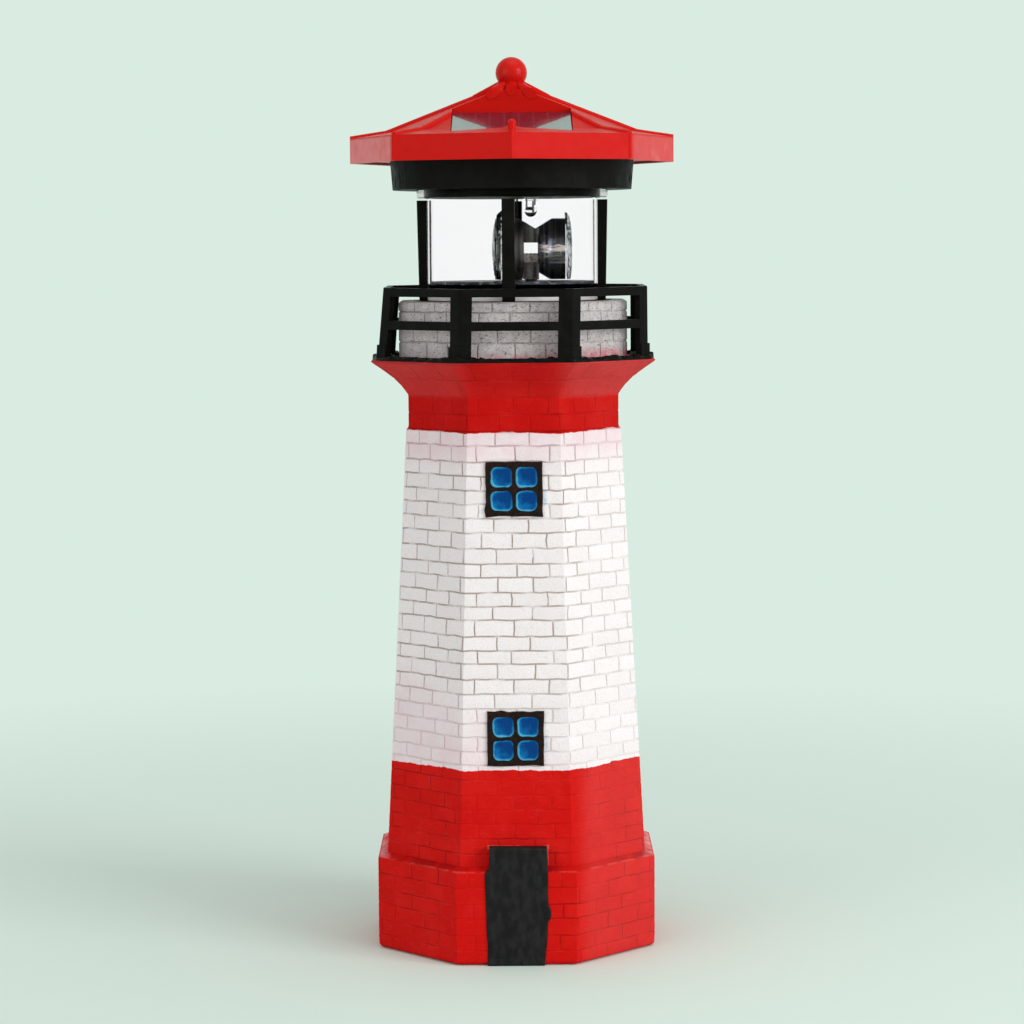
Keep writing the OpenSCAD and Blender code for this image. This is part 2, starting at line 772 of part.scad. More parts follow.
// Plano-convex lens, cut flat where it stands over the clear floor; side is -1 or 1
module lens(side) {
    ball = (lens_r * lens_r + lens_bulge * lens_bulge) / (2 * lens_bulge);
    color(clear) intersection() {
        translate([rotor_x + side * lens_x, 0, z_lens]) rotate([0, side * 90, 0]) union() {
            cylinder(r = lens_r, h = lens_rim + eps, $fn = 96);
            translate([0, 0, lens_rim]) intersection() {
                translate([0, 0, lens_bulge - ball]) sphere(r = ball, $fn = 96);
                cylinder(r = lens_r, h = lens_bulge + 1, $fn = 96);
            }
        }
        translate([rotor_x - far / 2, -far / 2, z_rotor]) cube(far);
    }
}

// ---- battery, switch and leads ----

module battery() {
    button_r = 1.9;
    button_h = 0.8;
    color([0.20, 0.45, 0.25]) translate([-battery_l / 2, battery_y, battery_z]) rotate([0, 90, 0]) union() {
        cylinder(r = battery_r, h = battery_l - button_h);
        cylinder(r = button_r, h = battery_l);
    }
}

// Bent contact strip at one end of the battery; side is -1 or 1
module battery_contact(side) {
    color(steel) translate([side * (battery_l + contact_t) / 2, battery_y, z_lid_top + contact_h / 2])
        cube([contact_t, contact_w, contact_h], center = true);
}

module switch_body() {
    pocket_l = slider_l + switch_travel + 2 * slip;
    color(black) translate([switch_x, switch_y, z_lid_top]) difference() {
        translate([-switch_l / 2, -switch_w / 2, 0]) cube([switch_l, switch_w, switch_h]);
        translate([-pocket_l / 2, -slider_w / 2 - slip, -eps])
            cube([pocket_l, slider_w + 2 * slip, slider_h + 2 * slip]);
    }
}

// Slider of the switch, stored in its off place
module switch_slider() {
    color(white) translate([switch_x - switch_travel / 2, switch_y, 0]) union() {
        translate([-slider_l / 2, -slider_w / 2, z_lid_top + slip]) cube([slider_l, slider_w, slider_h]);
        translate([-nub_w / 2, -nub_w / 2, z_lid - nub_drop]) cube([nub_w, nub_w, lid_t + nub_drop + slip + 1]);
    }
}

// Both long leads share their way from the board down the rear post; side is -1 or 1
function post_route(side) =
    let (x = lead_x + side * lead_pair)
    [
        [x, board_d / 2 - 3, z_board], [x, board_d / 2 - 3, z_lead_board + 0.5],
        [x, board_d / 2 - 2.5, z_lead_board], [x, lead_y - 0.7, z_lead_board], [x, lead_y, z_lead_board - 0.7],
        [x, lead_y, z_lead_in + 0.6], [x, lead_y - 0.6, z_lead_in], [x, lead_drop_y + 0.6, z_lead_in],
        [x, lead_drop_y, z_lead_in - 0.6]
    ];
module lead_board_switch() {
    x = lead_x + lead_pair;
    end_y = switch_y + switch_w / 2;
    color(red) lead(concat(post_route(1), [
        [x, lead_drop_y, z_lead_low + 2], [x + 1, lead_drop_y - 1, z_lead_low], [switch_x, end_y + 4, z_lead_low],
        [switch_x, end_y, z_lead_low]
    ]), lead_r);
}

module lead_board_motor() {
    x = lead_x - lead_pair;
    out = unit([x - motor_x, lead_drop_y - motor_y]);
    end = [motor_x, motor_y] + (motor_r + running) * out;
    bend = [motor_x, motor_y] + (motor_r + 3) * out;
    color(black) lead(concat(post_route(-1), [
        [x, lead_drop_y, z_lead_low + 8], [x - 1, lead_drop_y - 2, z_lead_low + 7],
        [bend[0], bend[1], z_lead_low + 7], [end[0], end[1], z_lead_low + 7]
    ]), lead_r);
}

module lead_switch_battery() {
    start_y = switch_y - switch_w / 2;
    end_x = battery_l / 2 + contact_t;
    color(red) lead([
        [switch_x + 4, start_y, z_lead_low], [switch_x + 4, start_y - 4, z_lead_low],
        [end_x + 3.6, -8, z_lead_low], [end_x + 3.6, battery_y + 1.5, z_lead_low],
        [end_x + 2.4, battery_y, z_lead_low], [end_x, battery_y, z_lead_low]
    ], lead_r);
}

module lead_battery_motor() {
    start_x = -battery_l / 2 - contact_t;
    out = unit([start_x - 3 - motor_x, -9 - motor_y]);
    end = [motor_x, motor_y] + (motor_r + running) * out;
    bend = [motor_x, motor_y] + (motor_r + 3) * out;
    color(black) lead([
        [start_x, battery_y, z_lead_low], [start_x - 2, battery_y, z_lead_low],
        [start_x - 3, battery_y + 1.5, z_lead_low], [bend[0], bend[1], z_lead_low],
        [end[0], end[1], z_lead_low]
    ], lead_r);
}

// ---- glass and lamp ----

// Clear tube with a ledge inside that carries the clear floor
module clear_tube() {
    color(clear) translate([0, 0, z_flange]) difference() {
        cylinder(r = tube_r, h = tube_h, $fn = 96);
        translate([0, 0, -eps]) cylinder(r = tube_in_r - tube_ledge, h = tube_h + 2 * eps, $fn = 96);
        translate([0, 0, floor_z]) cylinder(r = tube_in_r, h = tube_h, $fn = 96);
    }
}

module clear_floor() {
    color(clear) translate([0, 0, z_clear_floor]) difference() {
        cylinder(r = tube_in_r - running, h = floor_t, $fn = 96);
        translate([rotor_x, 0, -eps]) cylinder(r = shaft_r + slip, h = floor_t + 2 * eps);
    }
}

// Cap on the tube: a groove takes the tube's top edge, and the diode's legs pass through
module glass_cap() {
    color(black) difference() {
        translate([0, 0, z_cap]) cylinder(r = cap_r, h = cap_h, $fn = 96);
        translate([0, 0, z_cap - eps]) difference() {
            cylinder(r = tube_r + running, h = cap_groove + eps, $fn = 96);
            translate([0, 0, -eps]) cylinder(r = tube_in_r - running, h = cap_groove + 3 * eps, $fn = 96);
        }
        leg_holes(z_cap - eps, cap_h + 2 * eps);
        lead_slot(post_lead_r - lead_r - running, post_lead_r + lead_r + running, z_cap - eps, cap_h + 2 * eps);
    }
}

module leg_holes(z, h) {
    for (s = [-1, 1]) translate([rotor_x + s * led_leg_x, 0, z]) cylinder(r = led_leg_r + running, h = h, $fn = 24);
}

// Round-nosed diode that hangs over the reflector's vee, with its two legs up to the board
module led() {
    rim_h = 1;
    rim_r = led_r + 0.4;
    color(clear) translate([rotor_x, 0, 0]) union() {
        translate([0, 0, z_led + led_r]) sphere(r = led_r, $fn = 48);
        translate([0, 0, z_led + led_r]) cylinder(r = led_r, h = led_len - led_r, $fn = 48);
        translate([0, 0, z_cap - rim_h]) cylinder(r = rim_r, h = rim_h, $fn = 48);
        for (s = [-1, 1]) translate([s * led_leg_x, 0, z_cap - eps])
            cylinder(r = led_leg_r, h = z_board - z_cap + eps, $fn = 24);
    }
}

// ---- ring housing ----

module housing_screw_places() {
    for (i = [0:3]) rotate(corner_step + i * 90) translate([housing_screw_circle, 0, 0]) children();
}

module ring_housing() {
    head_room = housing_head_h + slip + 2 * eps;
    color(black) difference() {
        union() {
            translate([0, 0, z_ring]) difference() {
                cylinder(r1 = ring_foot_r, r2 = ring_top_r, h = ring_h, $fn = 96);
                translate([0, 0, ring_wall])
                    cylinder(r1 = ring_foot_r - ring_wall, r2 = ring_top_r - ring_wall, h = ring_h, $fn = 96);
            }
            translate([0, 0, z_ring]) housing_screw_places() cylinder(r = housing_boss_r, h = ring_h);
            for (x = [-1, 1], y = [-1, 1])
                translate([x * (board_w / 2 - 4), y * (board_d / 2 - 7), z_ring + ring_wall - eps])
                    cylinder(r = 2, h = board_z + eps);
        }
        translate([0, 0, z_ring - eps]) housing_screw_places() cylinder(r = housing_head_r + slip, h = head_room);
        translate([0, 0, z_ring - eps]) housing_screw_places() cylinder(r = screw_r + slip, h = ring_h + 2 * eps);
        leg_holes(z_ring - eps, ring_wall + 2 * eps);
        lead_slot(post_lead_r - lead_r - running, post_lead_r + lead_r + running, z_ring - eps, ring_wall + 2 * eps);
    }
}

module housing_screw(i) {
    shank = z_soffit + soffit_t + housing_screw_depth - slip - z_ring - housing_head_h - slip;
    color(steel) rotate(corner_step + i * 90) translate([housing_screw_circle, 0, z_ring + slip])
        difference() {
            union() {
                cylinder(r = housing_head_r, h = housing_head_h);
                cylinder(r = screw_r, h = housing_head_h + shank);
            }
            cube([3, 0.6, 1.4], center = true);
            cube([0.6, 3, 1.4], center = true);
        }
}

module circuit_board() {
    color([0.10, 0.40, 0.20]) translate([-board_w / 2, -board_d / 2, z_board]) cube([board_w, board_d, board_t]);
}

module soffit_plate() {
    color(red) translate([0, 0, z_soffit]) difference() {
        roof_stage(soffit_r, soffit_r, soffit_t);
        translate([0, 0, -eps]) cylinder(r = soffit_hole_r, h = soffit_t + 2 * eps, $fn = 96);
        translate([0, 0, -eps]) housing_screw_places() cylinder(r = screw_r + slip, h = soffit_t + 2 * eps);
    }
}

// ---- roof ----

module roof_outside() {
    translate([0, 0, z_eave]) roof_stage(roof_r, roof_r, eave_h);
    translate([0, 0, z_edge]) roof_stage(roof_r, slope_r, z_slope - z_edge);
    translate([0, 0, z_slope]) roof_stage(slope_r, finial_neck_r, z_apex - z_slope);
}

module roof_inside() {
    drop = roof_wall / octagon_in;
    in_slope_r = slope_r - drop;
    in_neck_r = max(1, finial_neck_r - drop);
    translate([0, 0, z_eave - eps]) roof_stage(roof_inner_r, roof_inner_r, eave_h - roof_wall + eps);
    translate([0, 0, z_edge - roof_wall]) roof_stage(roof_inner_r, in_slope_r, z_slope - z_edge);
    translate([0, 0, z_slope - roof_wall])
        roof_stage(in_slope_r, in_neck_r, (in_slope_r - in_neck_r) * roof_slope);
}

// One roll along a corner: a steep length on the slope and a flatter one on the skirt
module corner_roll() {
    slope_l = norm([slope_r, z_apex - z_slope]);
    skirt_l = norm([roof_r - slope_r, z_slope - z_edge]);
    slope_a = atan(roof_slope);
    skirt_a = atan((z_slope - z_edge) / (roof_r - slope_r));
    sink = roll_r / 2;
    translate([slope_r, 0, z_slope - sink]) rotate([0, -90 + slope_a, 0])
        cylinder(r = roll_r, h = slope_l, $fn = 12);
    translate([slope_r, 0, z_slope - sink]) rotate([0, 90 + skirt_a, 0])
        cylinder(r = roll_r, h = skirt_l + roll_r, $fn = 12);
}

module rolls() {
    intersection() {
        for (i = [0:7]) rotate(i * corner_step) corner_roll();
        difference() {
            translate([0, 0, z_edge - roll_r]) roof_stage(roof_r, roof_r, far);
            translate([0, 0, z_apex]) cylinder(r = finial_neck_r + slip, h = far);
        }
    }
}

// Side outline of a pocket, grown by the roof's wall for the part's inside
module pocket_block(grow) {
    y_in = pocket_in - grow;
    y_out = pocket_out + grow;
    tilt = tan(panel_tilt);
    z_in = z_edge + panel_rise_in - panel_drop + grow * tilt;
    z_out = z_edge + panel_rise_out - panel_drop - grow * tilt;
    wide = pocket_w + 2 * grow;
    rotate([90, 0, 0]) rotate([0, -90, 0]) linear_extrude(height = wide, center = true)
        polygon([[-y_in, z_in - grow], [-y_out, z_out - grow], [-y_out, z_edge + far], [-y_in, z_edge + far]]);
}

module pocket(grow, side) {
    mirror([0, side > 0 ? 1 : 0, 0]) pocket_block(grow);
}

module roof() {
    color(red) difference() {
        union() {
            roof_outside();
            rolls();
        }
        for (s = [-1, 1]) pocket(0, s);
        difference() {
            roof_inside();
            for (s = [-1, 1]) pocket(roof_wall, s);
            translate([0, 0, z_soffit + soffit_t]) housing_screw_places() cylinder(r = housing_boss_r, h = far);
            translate([0, 0, z_apex - finial_pin_h - 2]) cylinder(r = finial_boss_r, h = far);
        }
        translate([0, 0, z_soffit]) housing_screw_places()
            cylinder(r = pilot_r, h = soffit_t + housing_screw_depth);
        translate([0, 0, z_apex - finial_pin_h]) cylinder(r = finial_pin_r + running, h = far);
        for (s = [-1, 1]) translate([0, s * panel_lead_y, z_soffit]) cylinder(r = lead_r + slip, h = far);
    }
}

module finial() {
    z_ball = z_apex + ball_r - 0.1;
    color(red) union() {
        translate([0, 0, z_apex - finial_pin_h + slip]) cylinder(r = finial_pin_r, h = finial_pin_h);
        translate([0, 0, z_apex]) cylinder(r = finial_neck_r, h = 2.4);
        translate([0, 0, z_ball]) sphere(r = ball_r, $fn = 64);
    }
}

// Panel lying on its pocket's sloping floor; side is -1 for the front and 1 for the rear
module solar_panel(side) {
    mid_y = (pocket_in + pocket_out) / 2;
    mid_z = z_edge + (panel_rise_in + panel_rise_out) / 2 - panel_drop / 2;
    color([0.12, 0.13, 0.17]) mirror([0, side > 0 ? 1 : 0, 0])
        translate([0, -mid_y, mid_z]) rotate([panel_tilt, 0, 0])
            cube([panel_w, panel_len, panel_t], center = true);
}

// Lead from a panel's underside straight down to the board
module panel_lead(side) {
    under = z_edge + panel_rise_in - panel_drop - (panel_lead_y - pocket_in + lead_r) * tan(panel_tilt);
    foot = z_board + board_t;
    color(steel) translate([0, side * panel_lead_y, foot]) cylinder(r = lead_r, h = under - foot - running);
}

tower_body();
door();
window_bars(window_low_z);  // window_bars_low
window_bars(window_high_z);  // window_bars_high
window_panes(window_low_z);  // window_panes_low
window_panes(window_high_z);  // window_panes_high
gallery_railing();
seal_ring();
lantern_frame();
spigot_cup();
spigot_lid();
lid_screw(0);  // lid_screw_1
lid_screw(1);  // lid_screw_2
lid_screw(2);  // lid_screw_3
gear_plate();
motor();
motor_shaft();
motor_pinion();
idler_pin();
idler_gear();
battery();
battery_contact(1);  // battery_contact_plus
battery_contact(-1);  // battery_contact_minus
switch_body();
switch_slider();
lead_board_switch();
lead_board_motor();
lead_switch_battery();
lead_battery_motor();
clear_tube();
clear_floor();
rotor_shaft();
rotor_gear();
reflector();
lens(-1);  // lens_left
lens(1);  // lens_right
led();
glass_cap();
ring_housing();
housing_screw(0);  // housing_screw_1
housing_screw(1);  // housing_screw_2
housing_screw(2);  // housing_screw_3
housing_screw(3);  // housing_screw_4
circuit_board();
soffit_plate();
roof();
finial();
solar_panel(-1);  // solar_panel_front
solar_panel(1);  // solar_panel_rear
panel_lead(-1);  // panel_lead_front
panel_lead(1);  // panel_lead_rear
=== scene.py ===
"""Garden lighthouse ornament: modelled pieces and finishes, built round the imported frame."""
import json
import math
import random

import bmesh
import bpy
from bpy.props import FloatProperty, FloatVectorProperty, IntProperty, PointerProperty
from bpy.types import Operator, Panel, PropertyGroup
from mathutils import Matrix, Vector, noise


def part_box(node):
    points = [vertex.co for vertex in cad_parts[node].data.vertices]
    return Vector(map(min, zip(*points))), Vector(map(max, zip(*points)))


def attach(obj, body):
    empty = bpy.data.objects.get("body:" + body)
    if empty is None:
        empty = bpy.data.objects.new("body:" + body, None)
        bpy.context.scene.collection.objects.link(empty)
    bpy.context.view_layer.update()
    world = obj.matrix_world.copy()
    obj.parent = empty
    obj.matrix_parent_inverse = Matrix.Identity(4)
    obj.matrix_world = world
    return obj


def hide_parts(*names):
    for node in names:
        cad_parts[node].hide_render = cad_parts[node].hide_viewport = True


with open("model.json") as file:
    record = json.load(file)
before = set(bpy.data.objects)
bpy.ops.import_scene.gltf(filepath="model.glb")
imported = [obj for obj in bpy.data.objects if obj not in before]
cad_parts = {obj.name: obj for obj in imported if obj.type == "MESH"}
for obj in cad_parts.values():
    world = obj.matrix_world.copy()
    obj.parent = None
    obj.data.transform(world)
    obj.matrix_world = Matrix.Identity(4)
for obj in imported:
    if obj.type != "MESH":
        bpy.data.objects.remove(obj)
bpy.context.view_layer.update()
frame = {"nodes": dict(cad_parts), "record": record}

bl_info = {
    "name": "Garden Lighthouse Ornament",
    "version": (1, 0, 0),
    "blender": (4, 5, 0),
    "location": "View3D > Sidebar > Lighthouse",
    "description": "Builds the painted tower, the lantern and the roof of a garden lighthouse",
    "category": "Object",
}

MM = 0.001
TOWER_HIGH, RAIL_HIGH, ROOF_HIGH = (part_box(node)[1] for node in ("tower_body", "gallery_railing", "roof"))
DECK_HALF = TOWER_HIGH.x
FACET_SHARE = 0.425
NOISE_SEED = 11


# ---- sizes and colours ----

def length(name, text, value):
    return FloatProperty(name=name, description=text, default=value, min=0.0, unit="LENGTH", precision=5)


def colour(name, text, value):
    return FloatVectorProperty(name=name, description=text, default=value, size=3, min=0.0, max=1.0,
                               subtype="COLOR")


class TowerSettings(PropertyGroup):
    """Sizes and paint of the cast tower."""
    plinth_half: length("Plinth half width", "Half the width of the plinth across its flats", 54.5 * MM)
    plinth_top: length("Plinth height", "Height of the ledge on top of the plinth", 36.5 * MM)
    shaft_foot: length("Shaft foot height", "Height where the tapering shaft starts", 37.7 * MM)
    shaft_foot_half: length("Shaft foot half width", "Half width of the shaft at its foot", 50.75 * MM)
    shaft_top: length("Shaft top height", "Height where the neck starts", 205 * MM)
    shaft_top_half: length("Shaft top half width", "Half width of the shaft at its top", 42 * MM)
    neck_half: length("Neck half width", "Half width of the upright neck", 41.05 * MM)
    flare_foot: length("Flare height", "Height where the flare starts", 217.5 * MM)
    deck_top: length("Deck height", "Height of the gallery deck", 232 * MM)
    deck_edge: length("Deck edge", "Height of the deck's upright edge", 0.7 * MM)
    drum_half: length("Drum half width", "Half width of the brick drum", 44.45 * MM)
    low_band_top: length("Low red band", "Height where the lower red band ends", 74.9 * MM)
    bore: length("Lantern bore", "Radius of the bore that takes the lantern's spigot", 35.3 * MM)
    rebate: length("Lantern rebate", "Radius of the rebate that takes the lantern's flange", 39.3 * MM)
    hollow_top: length("Hollow's top", "Half width of the hollow under the bore", 36 * MM)
    hollow_foot: length("Hollow's foot", "Half width of the hollow at the open foot", 44.75 * MM)
    joint: length("Mortar joint", "Width of the carved joints between bricks", 0.62 * MM)
    relief: length("Brick relief", "Depth of the carved joints", 0.4 * MM)
    bricks_round: IntProperty(name="Bricks round", description="Bricks in one course round the tower",
                              default=22, min=8, max=40)
    white: colour("White paint", "Colour of the white brickwork", (0.86, 0.845, 0.835))
    red: colour("Red paint", "Colour of the red bands", (0.60, 0.006, 0.004))
    grime: colour("Joint grime", "Colour in the joints of the white brickwork", (0.36, 0.27, 0.22))


class LanternSettings(PropertyGroup):
    """Colours of the lantern, its roof and its railing."""
    black: colour("Black plastic", "Colour of the moulded black pieces", (0.0042, 0.0040, 0.0036))
    roof_red: colour("Roof red", "Colour of the moulded roof", (0.57, 0.006, 0.003))
    pane_blue: colour("Pane blue", "Colour of the window panes", (0.0005, 0.045, 0.19))
    pane_rim: colour("Pane rim", "Colour along the rims of the panes", (0.10, 0.52, 0.76))


class StageSettings(PropertyGroup):
    """Floor, lamps and camera."""
    ground: colour("Floor", "Colour of the floor and backdrop", (0.70, 0.84, 0.76))
    paper: colour("Paper", "Colour of the backdrop behind the glass", (0.97, 0.97, 0.97))
    ambient: FloatProperty(name="Ambient light", description="Strength of the light from all round",
                           default=0.55, min=0.0)
    distance: length("Camera distance", "Distance from the tower's axis to the camera", 1170.5 * MM)
    left: length("Camera set-over", "Distance of the camera to the left of the tower's axis", 0.84 * MM)
    eye: length("Camera height", "Height of the camera", 277.4 * MM)
    tilt: FloatProperty(name="Camera tilt", description="Angle that the camera looks down",
                        default=math.radians(5.22), subtype="ANGLE")
    roll: FloatProperty(name="Camera roll", description="Turn of the picture", default=math.radians(0.38),
                        subtype="ANGLE")
    focal: FloatProperty(name="Focal length", description="Lens in millimetres on a 36 mm sensor",
                         default=103.8, min=1.0)


def tower():
    return bpy.context.scene.lighthouse_tower


def lantern():
    return bpy.context.scene.lighthouse_lantern


def stage():
    return bpy.context.scene.lighthouse_stage


# ---- mesh helpers ----

def new_object(bm, name, body, material, smooth):
    """A finished mesh as a smooth object, crisp at edges sharper than an angle, that rides on a body."""
    for face in bm.faces:
        face.smooth = True
    for edge in bm.edges:
        edge.smooth = edge.calc_face_angle(0.0) < math.radians(smooth)
    mesh = bpy.data.meshes.new(name)
    bm.to_mesh(mesh)
    bm.free()
    mesh.materials.append(material)
    piece = bpy.data.objects.new(name, mesh)
    bpy.context.scene.collection.objects.link(piece)
    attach(piece, body)
    return piece


def add_to(whole, part):
    """Joins one mesh into another."""
    mesh = bpy.data.meshes.new("part")
    part.to_mesh(mesh)
    part.free()
    whole.from_mesh(mesh)
    bpy.data.meshes.remove(mesh)


def open_edges(bm, height=None, tolerance=4e-6):
    """Open edges, or only those that lie at one height."""
    return [e for e in bm.edges if e.is_boundary
            and (height is None or all(abs(v.co.z - height) < tolerance for v in e.verts))]


def verts_of(made):
    return [g for g in made["geom"] if isinstance(g, bmesh.types.BMVert)]


def outward(bm):
    bmesh.ops.recalc_face_normals(bm, faces=bm.faces)


def close_up(bm):
    """Fills the open rims and turns every face outwards."""
    bmesh.ops.holes_fill(bm, edges=open_edges(bm), sides=0)
    outward(bm)


def move(bm, place):
    bmesh.ops.transform(bm, matrix=place, verts=bm.verts)


def rounded(bm, geom, offset, segments, affect="EDGES"):
    bmesh.ops.bevel(bm, geom=geom, offset=offset, segments=segments, affect=affect, profile=0.5, material=-1)


def up(height):
    return Vector((0, 0, height))


def cut(bm, point, normal, parts=None, **cleared):
    """Cuts a mesh, or parts of it, along a plane."""
    bmesh.ops.bisect_plane(bm, geom=parts or [*bm.faces, *bm.edges, *bm.verts], dist=1e-7,
                           plane_co=point, plane_no=normal, **cleared)


def cut_upright(bm, face, x):
    cut(bm, (x, 0, 0), (1, 0, 0), [face, *face.edges, *face.verts])


def cut_level(bm, z, **cleared):
    cut(bm, (0, 0, z), (0, 0, 1), **cleared)


def box_place(centre, size):
    return Matrix.Translation(centre) @ Matrix.Diagonal((*size, 1))


def add_block(bm, centre, size):
    bmesh.ops.create_cube(bm, size=1.0, matrix=box_place(centre, size))


def turned(outline, steps):
    """Turns an outline of (radius, height) points round the Z axis."""
    bm = bmesh.new()
    verts = [bm.verts.new((r, 0, h)) for r, h in outline]
    edges = [bm.edges.new(pair) for pair in zip(verts, verts[1:])]
    bmesh.ops.spin(bm, geom=verts + edges, cent=(0, 0, 0), axis=(0, 0, 1), angle=2 * math.pi, steps=steps,
                   use_merge=True)
    bmesh.ops.remove_doubles(bm, verts=bm.verts, dist=1e-6)
    outward(bm)
    return bm


def lie_down(bm, side, x, z):
    """Lays a turned mesh along the X axis, with its top to the left (-1) or to the right (1)."""
    move(bm, Matrix.Translation((x, 0, z)) @ Matrix.Rotation(math.radians(90 * side), 4, "Y"))


def octagon_corners(half):
    """Corners of an octagon with flats to the front, from the back's right corner round by the left."""
    flat = half * FACET_SHARE
    return [Vector(p) for p in ((flat, half), (-flat, half), (-half, flat), (-half, -flat),
                                (-flat, -half), (flat, -half), (half, -flat), (half, flat))]


def on_octagon(turn, half):
    """Point on an octagon, where turn counts its facets from 0 to 8."""
    index = min(max(int(turn), 0), 7)
    corners = octagon_corners(half)
    return corners[index].lerp(corners[(index + 1) % 8], turn - index)


def octagon_reach(half):
    """Distance from the axis to an octagon's outline, as a function of a point in that direction."""
    slant = half * (1 + FACET_SHARE) / math.sqrt(2)

    def reach(flat):
        x, y = abs(flat.x) / flat.length, abs(flat.y) / flat.length
        return min(half / max(x, y), slant * math.sqrt(2) / (x + y))
    return reach


def circle_reach(radius):
    return lambda flat: radius


def ring_on(bm, edges, reach, height):
    """Extrudes an open rim to a new outline, whose reach from the axis depends on the direction."""
    made = bmesh.ops.extrude_edge_only(bm, edges=edges)
    for vert in verts_of(made):
        flat = vert.co.xy
        flat *= reach(flat) / flat.length
        vert.co = (*flat, height)
    return [g for g in made["geom"] if isinstance(g, bmesh.types.BMEdge)]


# ---- tower ----

FACET_LENGTH = 40 * MM
PICTURE_PHASE = 4.13
COURSE_JITTER, BRICK_JITTER = 0.07, 0.09
LONGEST_EDGE = 3.6 * MM
FACE_INSET, FACE_RISE = 0.55 * MM, 0.05 * MM
SAME_PLACE = 1e-6


def front_of(faces, x):
    """The brick of a course that a cut at x goes through."""
    for face in faces:
        spread = [v.co.x for v in face.verts]
        if min(spread) < x - SAME_PLACE and max(spread) > x + SAME_PLACE:
            return face
    return None


def round_noise(point, grain):
    """Noise on the flat sheet that closes on itself once round the tower."""
    angle = point.x / (8 * FACET_LENGTH) * 2 * math.pi
    return noise.noise_vector(Vector((math.cos(angle) * grain, math.sin(angle) * grain, point.z * 370.0)))


def laid_bricks(low, high, courses, odd, rng, lift):
    """A flat sheet cut into bricks in running bond, a little longer than the way round the tower."""
    bricks, span = tower().bricks_round, 8 * FACET_LENGTH
    pitch = 8.0 / bricks
    spare = 1.4 * pitch * FACET_LENGTH
    rise = (high - low) / courses
    bm = bmesh.new()
    bmesh.ops.create_grid(bm, x_segments=1, y_segments=1, size=0.5)
    place = box_place((span / 2, 0, (low + high) / 2), (span + 2 * spare, 1, high - low))
    move(bm, place @ Matrix.Rotation(math.radians(90), 4, "X"))
    lines = [low + lift + rise * (i + rng.uniform(-COURSE_JITTER, COURSE_JITTER)) for i in range(1, courses)]
    for z in lines:
        cut_level(bm, z)
    levels = [low, *lines, high]
    for course in range(courses):
        middle = (levels[course] + levels[course + 1]) / 2
        shift = PICTURE_PHASE + (0.5 * pitch if (course + odd) % 2 else 0.0)
        for brick in range(bricks):
            turn = (shift + brick * pitch + rng.uniform(-BRICK_JITTER, BRICK_JITTER) * pitch) % 8
            for lap in (-8, 0, 8):
                row = [f for f in bm.faces if abs(f.calc_center_bounds().z - middle) < rise * 0.3]
                face = front_of(row, (turn + lap) * FACET_LENGTH)
                if face:
                    cut_upright(bm, face, (turn + lap) * FACET_LENGTH)
    bmesh.ops.bisect_edges(bm, edges=[e for e in bm.edges if e.calc_length() > LONGEST_EDGE], cuts=1)
    return bm


def carve(bm):
    """Carves a flat sheet of bricks in relief, with wandering joints and its front towards -Y."""
    size, span = tower(), 8 * FACET_LENGTH
    for vert in bm.verts:
        if not vert.is_boundary:
            sway = round_noise(vert.co, 40.0)
            vert.co += Vector((sway.x * 0.5, 0, sway.z * 0.42)) * MM
    bricks = list(bm.faces)
    tone, joint = (bm.verts.layers.float.new(name) for name in ("tone", "joint"))
    for inset, depth in ((size.joint * 0.36, 0.0), (size.joint * 0.3, size.relief), (FACE_INSET, FACE_RISE)):
        bmesh.ops.inset_individual(bm, faces=bricks, thickness=inset, depth=depth, use_even_offset=True)
    for vert in bm.verts:
        vert[joint] = 1.0 - min(-vert.co.y / size.relief, 1.0)
    for face in bricks:
        sway = round_noise(face.calc_center_bounds(), 90.0)
        for vert in {v for f in face.verts for e in f.link_edges for v in e.verts}:
            vert[tone] = min(max(0.5 + sway.x, 0.0), 1.0)
        for vert in face.verts:
            vert.co.y += sway.y * 0.06 * MM
    for facet in range(1, 8):
        cut(bm, (facet * FACET_LENGTH, 0, 0), (1, 0, 0))
    for x, side in ((0.0, -1), (span, 1)):
        cut(bm, (x, 0, 0), (side, 0, 0), clear_outer=True)


def carving_left(z):
    """Share of the carving that the paint leaves open: the red paint lies thicker than the white."""
    size = tower()
    if z < size.low_band_top:
        return 0.26
    return 0.34 if size.shaft_top < z < size.deck_top - 0.1 * MM else 1.0


def fold_round(bm, half_at):
    """Folds a flat sheet of bricks round the octagon."""
    for vert in bm.verts:
        turn, height = vert.co.x / FACET_LENGTH, vert.co.z
        proud = (-vert.co.y - tower().relief - FACE_RISE) * carving_left(height)
        point = on_octagon(min(max(turn, 0.0), 8.0), half_at(height) + proud)
        vert.co = (*point, height)
    bmesh.ops.remove_doubles(bm, verts=[v for v in bm.verts if v.is_boundary], dist=2e-5)


def plinth_half_at(z):
    size, radius, lip = tower(), 2.6 * MM, 0.8 * MM
    if z < radius:
        return size.plinth_half - radius + math.sqrt(max(radius ** 2 - (radius - z) ** 2, 0.0))
    if z > size.plinth_top - lip:
        over = z - size.plinth_top + lip
        return size.plinth_half - lip + math.sqrt(max(lip ** 2 - over ** 2, 0.0))
    return size.plinth_half


def shaft_half_at(z):
    size = tower()
    share = (z - size.shaft_foot) / (size.shaft_top - size.shaft_foot)
    return size.shaft_foot_half + (size.shaft_top_half - size.shaft_foot_half) * share


def gallery_half_at(z):
    size = tower()
    if z <= size.flare_foot:
        return size.neck_half
    share = min((z - size.flare_foot) / (size.deck_top - size.deck_edge - size.flare_foot), 1.0)
    return size.neck_half + (DECK_HALF - size.neck_half) * share ** 1.5


def drum_half_at(z):
    return tower().drum_half


